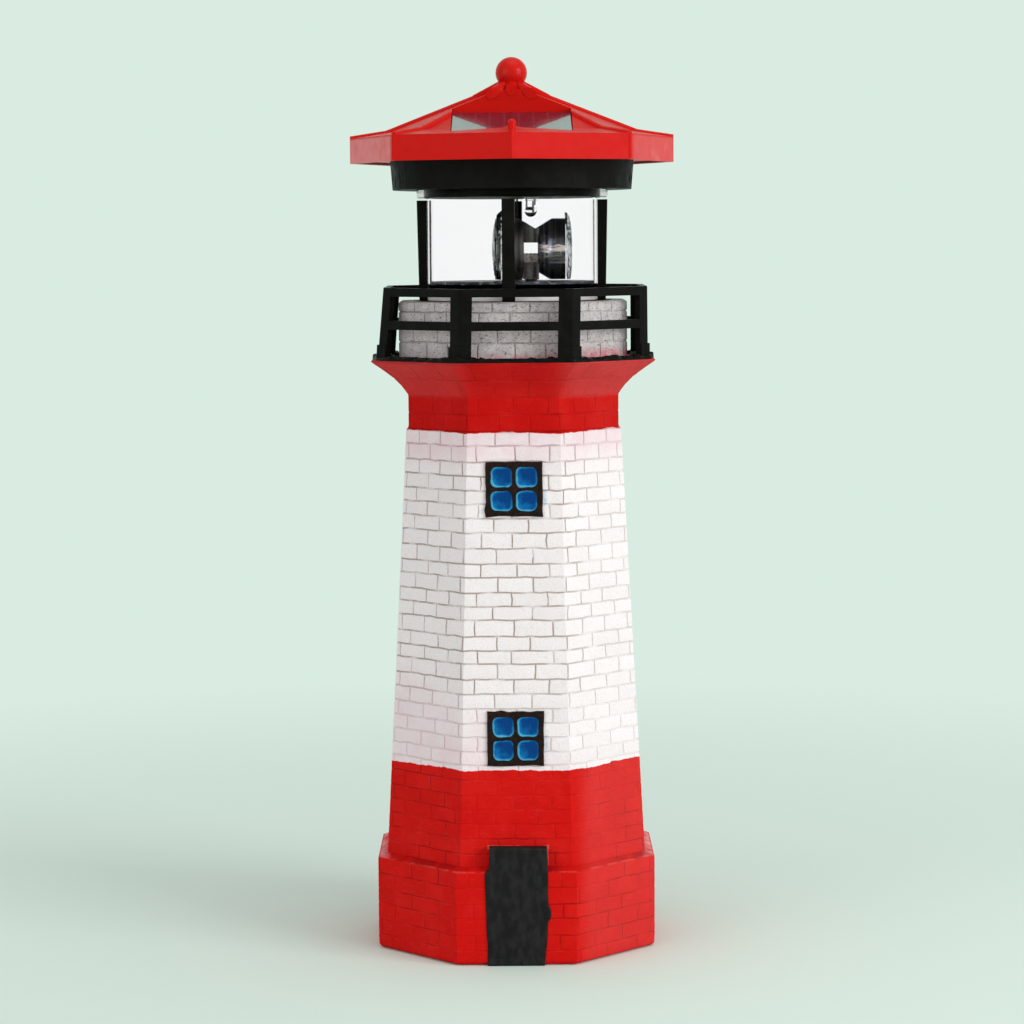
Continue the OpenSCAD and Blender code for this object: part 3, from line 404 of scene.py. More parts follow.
def build_tower():
    """The cast tower as one closed shell: four bands of brickwork, the ledge, the deck and the bored inside."""
    size = tower()
    rng = random.Random(7)
    whole = bmesh.new()
    drum_top, seat = TOWER_HIGH.z - 0.4 * MM, TOWER_HIGH.z - 1 * MM
    neck_foot, edge_low = size.shaft_top + 0.02 * MM, size.deck_top - size.deck_edge
    bands = (  # low, high, courses, odd, lift of the joints, half width, extra level cuts in millimetres
        (0.0, size.plinth_top, 6, 1, 0.0, plinth_half_at, (0.35, 0.9, 1.7, 35.95, 36.3)),
        (size.shaft_foot, size.shaft_top, 30, 0, 0.0, shaft_half_at, ()),
        (neck_foot, edge_low, 4, 1, 0.0, gallery_half_at, (217.5, 219.4, 222, 224.2, 227, 229, 230.2)),
        (size.deck_top, drum_top, 4, 0, 1.7 * MM, drum_half_at, ()))
    for low, high, courses, odd, lift, half_at, cuts in bands:
        sheet = laid_bricks(low, high, courses, odd, rng, lift)
        carve(sheet)
        for z in cuts:
            cut_level(sheet, z * MM)
        fold_round(sheet, half_at)
        add_to(whole, sheet)
    for low, high in ((size.plinth_top, size.shaft_foot), (size.shaft_top, neck_foot)):
        bmesh.ops.bridge_loops(whole, edges=open_edges(whole, low) + open_edges(whole, high))
    lip = open_edges(whole, edge_low)
    for half, height in ((DECK_HALF, edge_low + 0.15 * MM), (DECK_HALF, size.deck_top - 0.15 * MM),
                         (DECK_HALF - 0.3 * MM, size.deck_top - 0.05 * MM)):
        lip = ring_on(whole, lip, octagon_reach(half), height)
    bmesh.ops.bridge_loops(whole, edges=lip + open_edges(whole, size.deck_top))
    rim = open_edges(whole, drum_top)
    rebate, bore = circle_reach(size.rebate), circle_reach(size.bore)
    hollow_top, hollow_foot = octagon_reach(size.hollow_top), octagon_reach(size.hollow_foot)
    for reach, height in ((rebate, drum_top), (rebate, seat), (bore, seat), (bore, size.shaft_top),
                          (hollow_top, size.shaft_top), (hollow_foot, 0.0)):
        rim = ring_on(whole, rim, reach, height)
    outer = [e for e in open_edges(whole, 0.0) if e not in rim]
    bmesh.ops.bridge_loops(whole, edges=rim + outer)
    outward(whole)
    piece = new_object(whole, "tower_casting", "tower", tower_finish(), 24)
    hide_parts("tower_body")


# ---- finishes ----

class Tree:
    """Adds nodes to the tree of a material or a world."""

    def __init__(self, owner):
        owner.use_nodes = True
        self.nodes, self.links = owner.node_tree.nodes, owner.node_tree.links

    def join(self, value, socket):
        """Links an output to a socket, or writes a plain value on it."""
        if isinstance(value, bpy.types.NodeSocket):
            self.links.new(value, socket)
        elif socket.type == "RGBA":
            socket.default_value = (*value, 1.0)
        else:
            socket.default_value = value

    def add(self, kind, **inputs):
        """A new node, whose sockets take plain values or other nodes' outputs."""
        node = self.nodes.new("ShaderNode" + kind)
        for socket, value in inputs.items():
            self.join(value, node.inputs[socket])
        return node

    def maths(self, kind, first, second=0.0):
        node = self.add("Math")
        node.operation = kind
        self.join(first, node.inputs[0])
        self.join(second, node.inputs[1])
        return node.outputs[0]

    def blend(self, share, first, second):
        """Mixes two shaders."""
        node = self.add("MixShader")
        for value, socket in zip((share, first, second), node.inputs):
            self.join(value, socket)
        return node.outputs[0]

    def seen_directly(self):
        """1 for rays from the camera, by mirror or through glass, and 0 for rays that light the object."""
        rays = self.add("LightPath").outputs
        direct = self.maths("MAXIMUM", rays["Is Camera Ray"], rays["Is Glossy Ray"])
        return self.maths("MAXIMUM", direct, rays["Is Transmission Ray"])


class Finish(Tree):
    """A node finish on one Principled shader, built up step by step."""

    def __init__(self, name, **sockets):
        self.material = bpy.data.materials.new(name)
        super().__init__(self.material)
        self.shader = self.nodes["Principled BSDF"]
        self.place = self.add("TexCoord").outputs["Object"]
        self.normal = None
        for socket, value in sockets.items():
            self.join(value, self.shader.inputs[socket.replace("_", " ")])

    def axes(self):
        return self.add("SeparateXYZ", Vector=self.place).outputs[:]

    def attribute(self, name):
        node = self.add("Attribute")
        node.attribute_name = name
        return node.outputs["Fac"]

    def texture(self, kind, grain, stretch=(1, 1, 1), offset=(0, 0, 0), **inputs):
        """A texture in the object's own space, with its grain in millimetres."""
        mapping = self.add("Mapping", Vector=self.place, Scale=stretch, Location=offset)
        return self.add(kind, Vector=mapping.outputs["Vector"], Scale=1.0 / (grain * MM), **inputs)

    def noise(self, grain, detail=3.0, **shape):
        return self.texture("TexNoise", grain, Detail=detail, Roughness=0.55, **shape).outputs["Fac"]

    def sway(self, grain, reach, detail=3.0, **shape):
        """Noise round zero, times its reach."""
        return self.times(self.maths("SUBTRACT", self.noise(grain, detail, **shape), 0.5), reach)

    def cloud(self, grain, start, end, low=0.0, high=1.0, detail=3.0, **shape):
        """Goes from low to high where the noise goes from start to end."""
        return self.fade(self.noise(grain, detail, **shape), start, end, low, high)

    def fade(self, value, start, end, low=0.0, high=1.0):
        """Goes smoothly from low to high while the value goes from start to end."""
        node = self.add("MapRange")
        node.interpolation_type = "SMOOTHSTEP"
        for number, socket in zip((value, start, end, low, high), node.inputs):
            self.join(number, socket)
        return node.outputs["Result"]

    def over(self, value, start, end, low=0.0, high=1.0):
        """A fade between two places in millimetres."""
        return self.fade(value, start * MM, end * MM, low, high)

    def band(self, value, start, full, last, end):
        """1 between full and last, and 0 before start and after end, in millimetres."""
        return self.times(self.over(value, start, full), self.over(value, last, end, 1.0, 0.0))

    def times(self, product, *others):
        for other in others:
            product = self.maths("MULTIPLY", product, other)
        return product

    def plus(self, first, second):
        return self.maths("ADD", first, second)

    def most(self, first, second):
        return self.maths("MAXIMUM", first, second)

    def coats(self, base, *coats):
        """Lays coats of (share, colour) over a base colour, one after another."""
        for share, tone in coats:
            node = self.add("Mix")
            node.data_type = "RGBA"
            for value, index in ((share, 0), (base, 6), (tone, 7)):
                self.join(value, node.inputs[index])
            base = node.outputs[2]
        return base

    def bump(self, height, depth):
        """Raises the surface by a depth in millimetres."""
        node = self.add("Bump", Height=height, Distance=depth * MM, Strength=1.0)
        if self.normal is not None:
            self.join(self.normal, node.inputs["Normal"])
        self.normal = node.outputs["Normal"]
        return self

    def done(self, rough, base, *coats):
        """The material, with its roughness and with coats over its base colour."""
        colour_out = self.coats(base, *coats)
        for value, socket in ((rough, "Roughness"), (colour_out, "Base Color"), (self.normal, "Normal")):
            if value is not None:
                self.join(value, self.shader.inputs[socket])
        return self.material


def shaded(tone, factor, lift=0.0):
    """A tone made darker or paler."""
    return [c * factor + lift for c in tone]


def tower_finish():
    """Cast resin under brushed paint: white with joints of grime and painted shade, red bands, overspray, worn
    edges, and painted highlights and shade on the red.
    """
    size = tower()
    kit = Finish("painted_casting", Specular_IOR_Level=0.05)
    x, y, z = kit.axes()
    both, over, band, cloud = kit.times, kit.over, kit.band, kit.cloud
    joint, tone = kit.attribute("joint"), kit.attribute("tone")
    patches = kit.noise(14, 4.0)
    across = kit.maths("ABSOLUTE", x)
    drum = over(z, 231.9, 232.1)
    open_joint = both(kit.fade(joint, 0.45, 0.98), cloud(8, 0.34, 0.56, 0.25))
    level = kit.plus(z, kit.plus(kit.sway(5, 1.8 * MM), kit.sway(30, 3.0 * MM, 1.0)))
    edge = size.low_band_top / MM
    low = over(level, edge - 0.15, edge + 0.2, 1.0, 0.0)
    high = both(over(level, 204.5, 204.85), over(z, 232.02, 232.3, 1.0, 0.0))

    # joint grime and painted shade: the joints darker, less so low on the shaft and on the right side
    joint_grime_and_shade = both(open_joint, over(z, 94, 112, 0.35), over(kit.plus(x, both(y, -0.1)), 20, 36, 1.0, 0.42), 0.8)
    near_low = over(kit.plus(z, both(x, 0.5)), 72, 100, 0.5, 0.0)
    near_high = both(over(z, 188, 200, 0.0, 0.62), over(z, 205, 206, 1.0, 0.0))
    haze = both(kit.plus(near_low, near_high), cloud(11, 0.3, 0.7, 0.4, detail=4.0))
    side = both(over(x, -2, 24), over(z, 233, 238, 0.8, 0.0))
    foot = both(over(z, 232.6, 236, 0.55, 0.0), over(x, -30, 5))
    pink = both(drum, kit.most(side, foot), cloud(4.5, 0.28, 0.62))
    beside = both(band(x, 11.3, 11.6, 12.0, 12.9), over(y, -30, -29, 1.0, 0.0))
    heights = kit.most(band(z, 176.5, 178, 181, 183.5), both(band(z, 82, 84, 88, 91), 0.5))
    white = kit.coats(
        size.white,
        (kit.fade(tone, 0.0, 1.0, 0.0, 0.8), shaded(size.white, 0.94)),
        (cloud(0.55, 0.34, 0.5, 0.24, 0.0, 2.0), (0.52, 0.47, 0.43)),
        (kit.fade(patches, 0.5, 0.75, 0.0, 0.25), (0.74, 0.69, 0.66)),
        (joint_grime_and_shade, size.grime),
        (haze, (0.78, 0.56, 0.61)),
        (both(drum, cloud(3.5, 0.3, 0.7, 0.2, 0.5, 4.0)), (0.36, 0.33, 0.32)),
        (both(drum, cloud(0.45, 0.5, 0.62, 0.0, 0.3, 2.0)), (0.20, 0.18, 0.18)),
        (both(drum, cloud(0.75, 0.6, 0.68, 0.0, 0.7, 2.0, stretch=(0.6, 0.6, 1.3))), (0.07, 0.06, 0.06)),
        (pink, (0.72, 0.10, 0.17)),
        (both(beside, heights, cloud(1.8, 0.3, 0.6, 0.1, 0.8)), (0.10, 0.55, 0.80)))

    # painted highlight: paler red along the brick edges beside the joints
    lip = both(kit.fade(joint, 0.02, 0.3), kit.fade(joint, 0.35, 0.7, 1.0, 0.0), cloud(9, 0.52, 0.66), 0.35)
    # worn edge and painted highlight: a paler red line along the plinth's top edge
    rim = both(band(z, 36.1, 36.4, 36.5, 36.8), cloud(6, 0.36, 0.6, 0.0, 0.45, 4.0))
    # painted highlight: a paler red strip along the door's top and right edges, standing in for their lit edges
    off_door = kit.maths("ABSOLUTE", kit.maths("SUBTRACT", x, 0.7 * MM))
    above = both(over(off_door, 11.6, 12.1, 1.0, 0.0), over(z, 44.6, 44.9), over(level, 46.3, 46.7, 1.0, 0.0))
    right = both(band(x, 11.6, 11.8, 12.2, 12.6), over(z, 46.3, 46.7, 1.0, 0.0), 0.7)
    on_front = both(over(z, 38, 39), over(y, -45, -44, 1.0, 0.0))
    door_edge_highlight = both(kit.most(above, right), on_front, cloud(4, 0.3, 0.6, 0.3, 0.8))
    # worn edge and painted highlight: pale pink on the outer ends of the plinth's ledge
    ledge = both(band(z, 36.2, 36.6, 37.65, 38.4), over(across, 49, 55), 0.85,
                 cloud(6.5, 0.25, 0.62, detail=2.0))
    # painted highlight: the flare paler, more so on its right side
    flare = kit.plus(over(across, 14, 26, 0.01, 0.055), over(x, 14, 26, 0.0, 0.03))
    red = kit.coats(
        size.red,
        (kit.fade(tone, 0.0, 1.0, 0.0, 0.5), shaded(size.red, 0.9)),
        (kit.fade(patches, 0.42, 0.7, 0.0, 0.45), (0.70, 0.016, 0.012)),
        (cloud(1.6, 0.55, 0.8, 0.0, 0.2, 4.0, stretch=(0.5, 0.5, 2.0)), (0.76, 0.06, 0.05)),
        (both(open_joint, cloud(26, 0.4, 0.62, 0.16, 0.75, 2.0)), (0.30, 0.004, 0.004)),
        # painted shade: darker red from the neck up, under the flare
        (over(z, 203, 206, 0.0, 0.24), (0.24, 0.0, 0.0)),
        (lip, (0.80, 0.13, 0.11)),
        # worn edge and painted highlight on the plinth, painted highlight round the door
        (kit.most(rim, door_edge_highlight), (0.84, 0.12, 0.10)),
        (ledge, (0.90, 0.50, 0.53)),
        # painted sheen: the right facets pinker, mostly below the neck
        (both(over(x, 22, 30, 0.0, 0.07), over(z, 203, 206, 1.0, 0.1)), (0.95, 0.32, 0.30)),
        (both(over(z, 217, 219), flare), (0.95, 0.42, 0.40)))
    kit.bump(kit.noise(0.6), 0.10).bump(kit.noise(2.6, 4.0), 0.30)
    return kit.done(cloud(2.4, 0.3, 0.7, 0.46, 0.62), white, (kit.most(low, high), red))


def black_finish(name, shade=None, gloss=0.34):
    """Moulded black plastic with a faint grain and rubbed patches."""
    kit = Finish(name, Specular_IOR_Level=0.05)
    base = shade or lantern().black
    kit.bump(kit.noise(0.45, 2.0), 0.02).bump(kit.noise(7, 2.0), 0.12)
    return kit.done(kit.cloud(3.0, 0.3, 0.7, gloss, gloss + 0.16, 4.0), base,
                    (kit.cloud(6, 0.4, 0.75, 0.0, 0.6, 4.0), shaded(base, 2.0, 0.001)))


def door_finish():
    """Thick black paint dabbed on with a brush."""
    kit = Finish("door_black", Specular_IOR_Level=0.14)
    dabs = kit.noise(3.4, 5.0, stretch=(1.3, 1.0, 0.7))
    kit.bump(dabs, 0.3).bump(kit.noise(0.7), 0.10)
    return kit.done(kit.fade(dabs, 0.35, 0.7, 0.42, 0.62), (0.006, 0.006, 0.006),
                    (kit.fade(dabs, 0.38, 0.66, 0.0, 0.9), (0.016, 0.016, 0.016)))


def bar_finish():
    """Brown-black paint on the window bars."""
    kit = Finish("window_bar_black", Specular_IOR_Level=0.12)
    kit.bump(kit.noise(0.9), 0.10)
    return kit.done(kit.cloud(2.0, 0.3, 0.7, 0.3, 0.5), (0.006, 0.003, 0.002),
                    (kit.cloud(1.5, 0.4, 0.7, detail=4.0), (0.024, 0.007, 0.004)))


def pane_finish():
    """Blue enamel that goes to cyan along the rim of each pane."""
    part = lantern()
    kit = Finish("window_blue", Specular_IOR_Level=0.05, Coat_Weight=0.05, Coat_Roughness=0.12)
    rim = kit.plus(kit.attribute("rim"), kit.sway(2.2, 0.8))
    kit.bump(kit.noise(1.5), 0.08)
    return kit.done(kit.cloud(1.2, 0.3, 0.7, 0.2, 0.34), part.pane_blue,
                    (kit.fade(rim, 0.1, 0.65), (0.004, 0.17, 0.44)), (kit.fade(rim, 0.5, 1.1), part.pane_rim))


def roof_finish(name="roof_red", gloss=0.0):
    """Moulded red plastic with faint flow marks, and a painted pale sheen on the side faces of the eave."""
    kit = Finish(name, Specular_IOR_Level=0.06, Coat_Weight=gloss, Coat_Roughness=0.08)
    x, _, z = kit.axes()
    # painted sheen: paler pink on the eave's side faces, more on the left one, broken by noise
    side = kit.times(kit.over(kit.maths("ABSOLUTE", x), 45.5, 46.5), kit.over(z, 317.2, 318.4, 1.0, 0.0))
    rubbed = kit.fade(kit.plus(kit.noise(9, 4.0), kit.times(x, -4.0)), 0.3, 0.85, 0.12, 0.42)
    kit.bump(kit.noise(9, 2.0), 0.10)
    return kit.done(kit.cloud(4.0, 0.3, 0.7, 0.3, 0.42), lantern().roof_red,
                    (kit.cloud(22, 0.4, 0.7, 0.0, 0.4), (0.61, 0.010, 0.006)),
                    (kit.times(side, rubbed), (0.86, 0.50, 0.50)))


def clear_finish(name, haze, tint=(0.97, 0.98, 0.98), bend=1.3, painted_shade_below=None):
    """Clear moulded plastic with faint haze and scuffs, and with painted glints on a foot painted dark as shade
    below a height in mm.
    """
    kit = Finish(name, Transmission_Weight=1.0, IOR=bend)
    coats = [(kit.cloud(9, 0.4, 0.7, 0.0, haze), shaded(tint, 0.8))]
    if painted_shade_below:
        # painted shade and painted glints: the foot dark below the height, with pale glints
        level = kit.plus(kit.axes()[2], kit.times(kit.noise(5, 2.0), 0.8 * MM))
        glints = kit.cloud(1.6, 0.48, 0.62, stretch=(0.5, 0.5, 2.0))
        foot = kit.coats((0.11, 0.125, 0.155), (glints, (0.66, 0.70, 0.76)))
        coats.append((kit.over(level, painted_shade_below, painted_shade_below + 0.5, 1.0, 0.0), foot))
    kit.bump(kit.noise(14, 2.0), 0.10)
    return kit.done(kit.cloud(5, 0.4, 0.75, 0.03, 0.03 + haze), tint, *coats)


def floor_disc_finish():
    """Disc under the lens painted dark as painted shade, with painted pale glints."""
    kit = Finish("floor_disc_plastic", Transmission_Weight=0.5, IOR=1.3, Specular_IOR_Level=0.12)
    kit.bump(kit.noise(4, 2.0), 0.08)
    # painted shade: the dark base and its paler clouds; painted glints: the last coat
    return kit.done(kit.cloud(3.0, 0.3, 0.7, 0.3, 0.5), (0.022, 0.026, 0.034),
                    (kit.cloud(9, 0.3, 0.7), (0.09, 0.10, 0.13)),
                    (kit.cloud(2.6, 0.56, 0.68, 0.0, 0.8), (0.62, 0.65, 0.68)))


def lens_finish(name, mottled):
    """Ridged lens plastic: one lens mottled with painted refraction shade, one clear with ends darkened as
    painted shade.
    """
    kit = Finish(name, Transmission_Weight=1.0, IOR=1.38)
    kit.bump(kit.noise(3, 2.0), 0.10)
    # painted shade: dark mottling that stands in for refraction
    rough, refraction_spots = kit.cloud(2.5, 0.4, 0.75, 0.04, 0.12), kit.cloud(2.2, 0.42, 0.6, detail=4.0)
    if mottled:
        return kit.done(rough, (0.92, 0.92, 0.93), (refraction_spots, (0.16, 0.17, 0.16)))
    x, _, z = kit.axes()
    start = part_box("lens_right")[0].x / MM
    # painted shade: dark top and bottom ends of the clear lens
    ends = kit.times(kit.most(kit.over(z, 276.6, 278), kit.over(z, 267.5, 269.5, 1.0, 0.0)),
                     kit.over(x, start + 3.4, start + 4.2), 0.85)
    return kit.done(rough, (0.96, 0.91, 0.92), (ends, (0.07, 0.07, 0.09)),
                    (kit.times(refraction_spots, 0.4), (0.4, 0.36, 0.38)),
                    (kit.over(x, start + 3.2, start + 4.0, 0.8, 0.0), (0.90, 0.91, 0.99)))


def metal_finish(name, tone=(0.62, 0.62, 0.63), rough=0.22):
    """Plated or turned metal with fine scratches."""
    kit = Finish(name, Metallic=1.0)
    lines = kit.noise(0.5, stretch=(1, 1, 9))
    kit.bump(lines, 0.006)
    return kit.done(kit.fade(lines, 0.35, 0.7, rough, rough + 0.14), tone,
                    (kit.cloud(3.5, 0.4, 0.7, 0.0, 0.5), shaded(tone, 0.72)))


def plain_plastic(name, tone, rough=0.42, depth=0.03):
    """Moulded engineering plastic with a soft grain."""
    kit = Finish(name)
    kit.bump(kit.noise(0.5), depth)
    return kit.done(kit.cloud(2.2, 0.3, 0.7, rough, rough + 0.14), tone,
                    (kit.cloud(4, 0.35, 0.7, 0.0, 0.7, 4.0), shaded(tone, 0.82)))


def chrome_finish():
    """Vacuum plating over ribs with painted reflections: dark, with painted bright level bands and bluish
    highlight stripes, and a pale sill in the slot.
    """
    kit = Finish("cup_plating", Metallic=1.0)
    x, y, z = kit.axes()
    both, over, band, cloud = kit.times, kit.over, kit.band, kit.cloud
    ribbed = (1.0, 0.03, 0.03)
    level = kit.plus(z, kit.sway(3.2, 5 * MM, stretch=(1, 1, 2.5)))
    right = over(x, 10.0, 10.6)
    # painted reflection: bright level bands on the right cup, with fainter bands below
    faint = both(over(level, 269.9, 270.5), over(level, 271.6, 272.4, 0.5, 0.0))
    reflection_streaks = cloud(1.5, 0.4, 0.55, 0.15, stretch=(0.22, 0.22, 2.4))
    sill = both(over(y, 2.5, 3.0), band(x, 4.2, 4.4, 10.2, 10.4), band(z, 269.4, 269.5, 276.5, 276.6))
    duller = both(kit.maths("SUBTRACT", 1.0, right), 0.2)
    kit.bump(kit.noise(2.2, 2.0, stretch=(0.6, 0.6, 2.0)), 0.10)
    return kit.done(
        kit.plus(cloud(4.0, 0.3, 0.7, 0.28, 0.42), duller), (0.030, 0.026, 0.026),
        (cloud(2.6, 0.42, 0.6, detail=1.0, stretch=ribbed, offset=(3, 0, 0)), (0.10, 0.092, 0.09)),
        # painted highlight: bluish stripes along the ribs of the right cup
        (both(right, cloud(1.5, 0.5, 0.68, 0.0, 0.8, 2.0, stretch=ribbed)), (0.26, 0.26, 0.33)),
        (both(over(z, 268, 269, 1.0, 0.0), cloud(3.4, 0.45, 0.65)), (0.20, 0.14, 0.115)),
        (both(kit.plus(band(level, 273.0, 273.8, 275.6, 276.3), faint), reflection_streaks, right), (0.66, 0.56, 0.53)),
        (both(band(z, 268.9, 269.2, 269.7, 270.0), over(x, 13.5, 15)), (0.80, 0.80, 0.84)),
        (sill, kit.coats((0.42, 0.29, 0.25), (cloud(1.4, 0.38, 0.6, detail=2.0), (0.95, 0.86, 0.85)))))


def cell_finish():
    """Dark solar cells under clear resin, with pale contact lines."""
    kit = Finish("solar_cells", Specular_IOR_Level=0.2, Coat_Weight=0.8, Coat_Roughness=0.03)
    steps = kit.maths("FRACT", kit.maths("DIVIDE", kit.axes()[0], 5.6 * MM))
    lines = kit.fade(kit.maths("ABSOLUTE", kit.maths("SUBTRACT", steps, 0.5)), 0.03, 0.05, 0.22, 0.0)
    kit.bump(kit.noise(12, 2.0), 0.03)
    return kit.done(kit.cloud(2.0, 0.3, 0.7, 0.16, 0.26), (0.010, 0.013, 0.028),
                    (kit.cloud(3, 0.35, 0.7), (0.018, 0.024, 0.05)), (lines, (0.20, 0.21, 0.23)))


def battery_finish():
    """Shrink-wrapped green sleeve."""
    kit = Finish("cell_sleeve", Coat_Weight=0.4, Coat_Roughness=0.2)
    kit.bump(kit.noise(2.5, 2.0, stretch=(0.3, 1, 1)), 0.06)
    return kit.done(kit.cloud(3.0, 0.3, 0.7, 0.3, 0.42), (0.03, 0.26, 0.09),
                    (kit.cloud(5, 0.4, 0.7), (0.04, 0.34, 0.12)))


def board_finish():
    """Green laminate with weave and copper tracks under the mask."""
    kit = Finish("board_green")
    x, y, _ = kit.axes()
    weave = kit.times(*(kit.maths("SINE", kit.times(axis, 9000.0)) for axis in (x, y)))
    tracks = kit.fade(kit.texture("TexVoronoi", 3.4).outputs["Distance"], 0.42, 0.47)
    kit.bump(weave, 0.01).bump(tracks, 0.03)
    return kit.done(kit.cloud(3.0, 0.3, 0.7, 0.3, 0.42), (0.012, 0.12, 0.045),
                    (kit.times(tracks, 0.7), (0.03, 0.24, 0.09)))


# ---- windows and door ----

WINDOW = Vector((21.9, 21.0)) * MM


def on_front_wall(z):
    """Places a part of the window on the leaning front wall, facing outwards."""
    size = tower()
    lean = math.atan((size.shaft_foot_half - size.shaft_top_half) / (size.shaft_top - size.shaft_foot))
    return Matrix.Translation((0, -shaft_half_at(z), z)) @ Matrix.Rotation(math.pi / 2 - lean, 4, "X")


def window_sheet(bar, cross, corner):
    """A flat window of four cells; returns the mesh and the four rounded panes."""
    bm = bmesh.new()
    bmesh.ops.create_grid(bm, x_segments=2, y_segments=2, size=0.5)
    inner = WINDOW - Vector((1, 1)) * (2 * bar - cross)
    move(bm, box_place((0, 0, 0), (*inner, 1)))
    panes = list(bm.faces)
    bmesh.ops.inset_individual(bm, faces=panes, thickness=cross / 2, use_even_offset=True)
    for vert in bm.verts:
        for axis in (0, 1):
            if abs(abs(vert.co[axis]) - inner[axis] / 2) < SAME_PLACE:
                vert.co[axis] = math.copysign(WINDOW[axis] / 2, vert.co[axis])
    centres = [face.calc_center_median().copy() for face in panes]
    corners = list({v for face in panes for v in face.verts})
    rounded(bm, corners, corner, 5, "VERTICES")
    return bm, [min(bm.faces, key=lambda f, c=c: (f.calc_center_median() - c).length) for c in centres]


def build_window_bars(name, z, seed):
    """Dark bars with a hand-painted outline round four panes."""
    bm, panes = window_sheet(2.1 * MM, 1.4 * MM, 2.2 * MM)
    thick, halfway = 0.85 * MM, 0.5 * MM
    bmesh.ops.delete(bm, geom=panes, context="FACES")
    bmesh.ops.subdivide_edges(bm, edges=[e for e in bm.edges if e.calc_length() > 2.5 * MM], cuts=3)
    made = bmesh.ops.extrude_face_region(bm, geom=list(bm.faces))
    bmesh.ops.translate(bm, vec=up(thick), verts=verts_of(made))
    for vert in bm.verts:
        sway = noise.noise_vector(Vector((vert.co.x * 260 + seed, vert.co.y * 260, seed)))
        vert.co += Vector((sway.x * 0.45, sway.y * 0.45, 0)) * MM
        if vert.co.z > halfway:
            vert.co.z += (sway.z * 0.12 - 0.015) * MM
    rim = [e for e in bm.edges if all(v.co.z > halfway for v in e.verts) and e.calc_face_angle(0.0) > 0.9]
    rounded(bm, rim, 0.3 * MM, 2)
    outward(bm)
    move(bm, on_front_wall(z))
    bars = new_object(bm, "painted_bars_" + name, "tower", bar_finish(), 40)
    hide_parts("window_bars_" + name)


def build_window_panes(name, z, seed):
    """Four domed panes, with a layer that says how near a point is to its pane's rim."""
    bm, panes = window_sheet(1.9 * MM, 1.1 * MM, 2.4 * MM)
    bmesh.ops.delete(bm, geom=[f for f in bm.faces if f not in panes], context="FACES")
    rim = bm.verts.layers.float.new("rim")
    for vert in bm.verts:
        vert[rim] = 1.0
    for inset, rise, value in ((0.28, 0.12, 0.9), (0.42, 0.12, 0.55), (0.5, 0.06, 0.2)):
        before = set(bm.verts)
        bmesh.ops.inset_individual(bm, faces=panes, thickness=inset * MM, depth=rise * MM, use_even_offset=True)
        for vert in set(bm.verts) - before:
            vert[rim] = value
    for vert in bm.verts:
        centre = min((face.calc_center_median() for face in panes), key=lambda c, v=vert: (c - v.co).length)
        away = vert.co - centre
        vert[rim] -= (away.x + away.y) * 60.0
    bmesh.ops.poke(bm, faces=panes, offset=0.05 * MM)
    bmesh.ops.translate(bm, vec=up(0.22 * MM), verts=bm.verts)
    for vert in bm.verts:
        vert.co.z += noise.noise(vert.co * 300 + Vector((seed, 0, 0))) * 0.05 * MM
    for vert in verts_of(bmesh.ops.extrude_edge_only(bm, edges=open_edges(bm))):
        vert.co.z = 0.0
    close_up(bm)
    move(bm, on_front_wall(z))
    glass = new_object(bm, "enamel_panes_" + name, "tower", pane_finish(), 50)
    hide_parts("window_panes_" + name)


DOOR_LEFT = ((0, 11.1), (15, 11.8), (36.4, 12.0), (37.4, 10.6), (47, 10.4))
DOOR_RIGHT = ((0, 10.6), (6, 11.1), (14, 11.9), (17.2, 12.0), (18.2, 12.8), (19.4, 13.1), (21.4, 13.1),
              (22.6, 12.7), (23.4, 12.1), (36.4, 12.2), (37.4, 11.9), (47, 11.8))


def door_reach(x, z):
    """How far the door's painted edge reaches to the left or the right at a height."""
    steps = DOOR_LEFT if x < 0 else DOOR_RIGHT
    for (low, first), (high, second) in zip(steps, steps[1:]):
        if z <= high * MM:
            return (first + (second - first) * max(z / MM - low, 0.0) / (high - low)) * MM
    return steps[-1][1] * MM


def build_door():
    """Door relief with a wavering outline, a sunk panel and a knob-like swelling on its right edge."""
    low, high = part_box("door")
    slices = 52
    bm = bmesh.new()
    add_block(bm, (low + high) / 2, high - low)
    rounded(bm, [e for e in bm.edges if any(f.normal.y < -0.9 for f in e.link_faces)], 0.55 * MM, 2)
    front = [max((f for f in bm.faces if f.normal.y < -0.9), key=lambda f: f.calc_area())]
    for inset, depth in ((1.9, 0.0), (0.35, -0.16), (0.4, 0.12)):
        bmesh.ops.inset_region(bm, faces=front, thickness=inset * MM, depth=depth * MM, use_even_offset=True)
    for i in range(1, slices):
        cut_level(bm, i * high.z / slices)
    for vert in bm.verts:
        x, z = vert.co.x, vert.co.z
        edge = (abs(x) / high.x) ** 3
        wander = noise.noise(Vector((math.copysign(2.0, x), z * 130, 0.3))) * 0.35 * MM
        vert.co.x = x + math.copysign(edge, x) * (door_reach(x, z) + wander - high.x)
        if vert.co.z > high.z * 0.94:
            vert.co.z += noise.noise(Vector((x * 160, 3.1, 0))) * 0.35 * MM - 0.3 * MM
        if vert.co.y < low.y + 0.8 * MM:
            vert.co.y += 0.06 * MM + abs(noise.noise(Vector((x * 120, 0, z * 120)))) * 0.14 * MM
    outward(bm)
    piece = new_object(bm, "painted_door", "tower", door_finish(), 40)
    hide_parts("door")


# ---- copies of CAD pieces with softened edges ----

def body_of(node):
    return next(body for body, nodes in frame["record"]["behaviour"]["bodies"].items() if node in nodes)


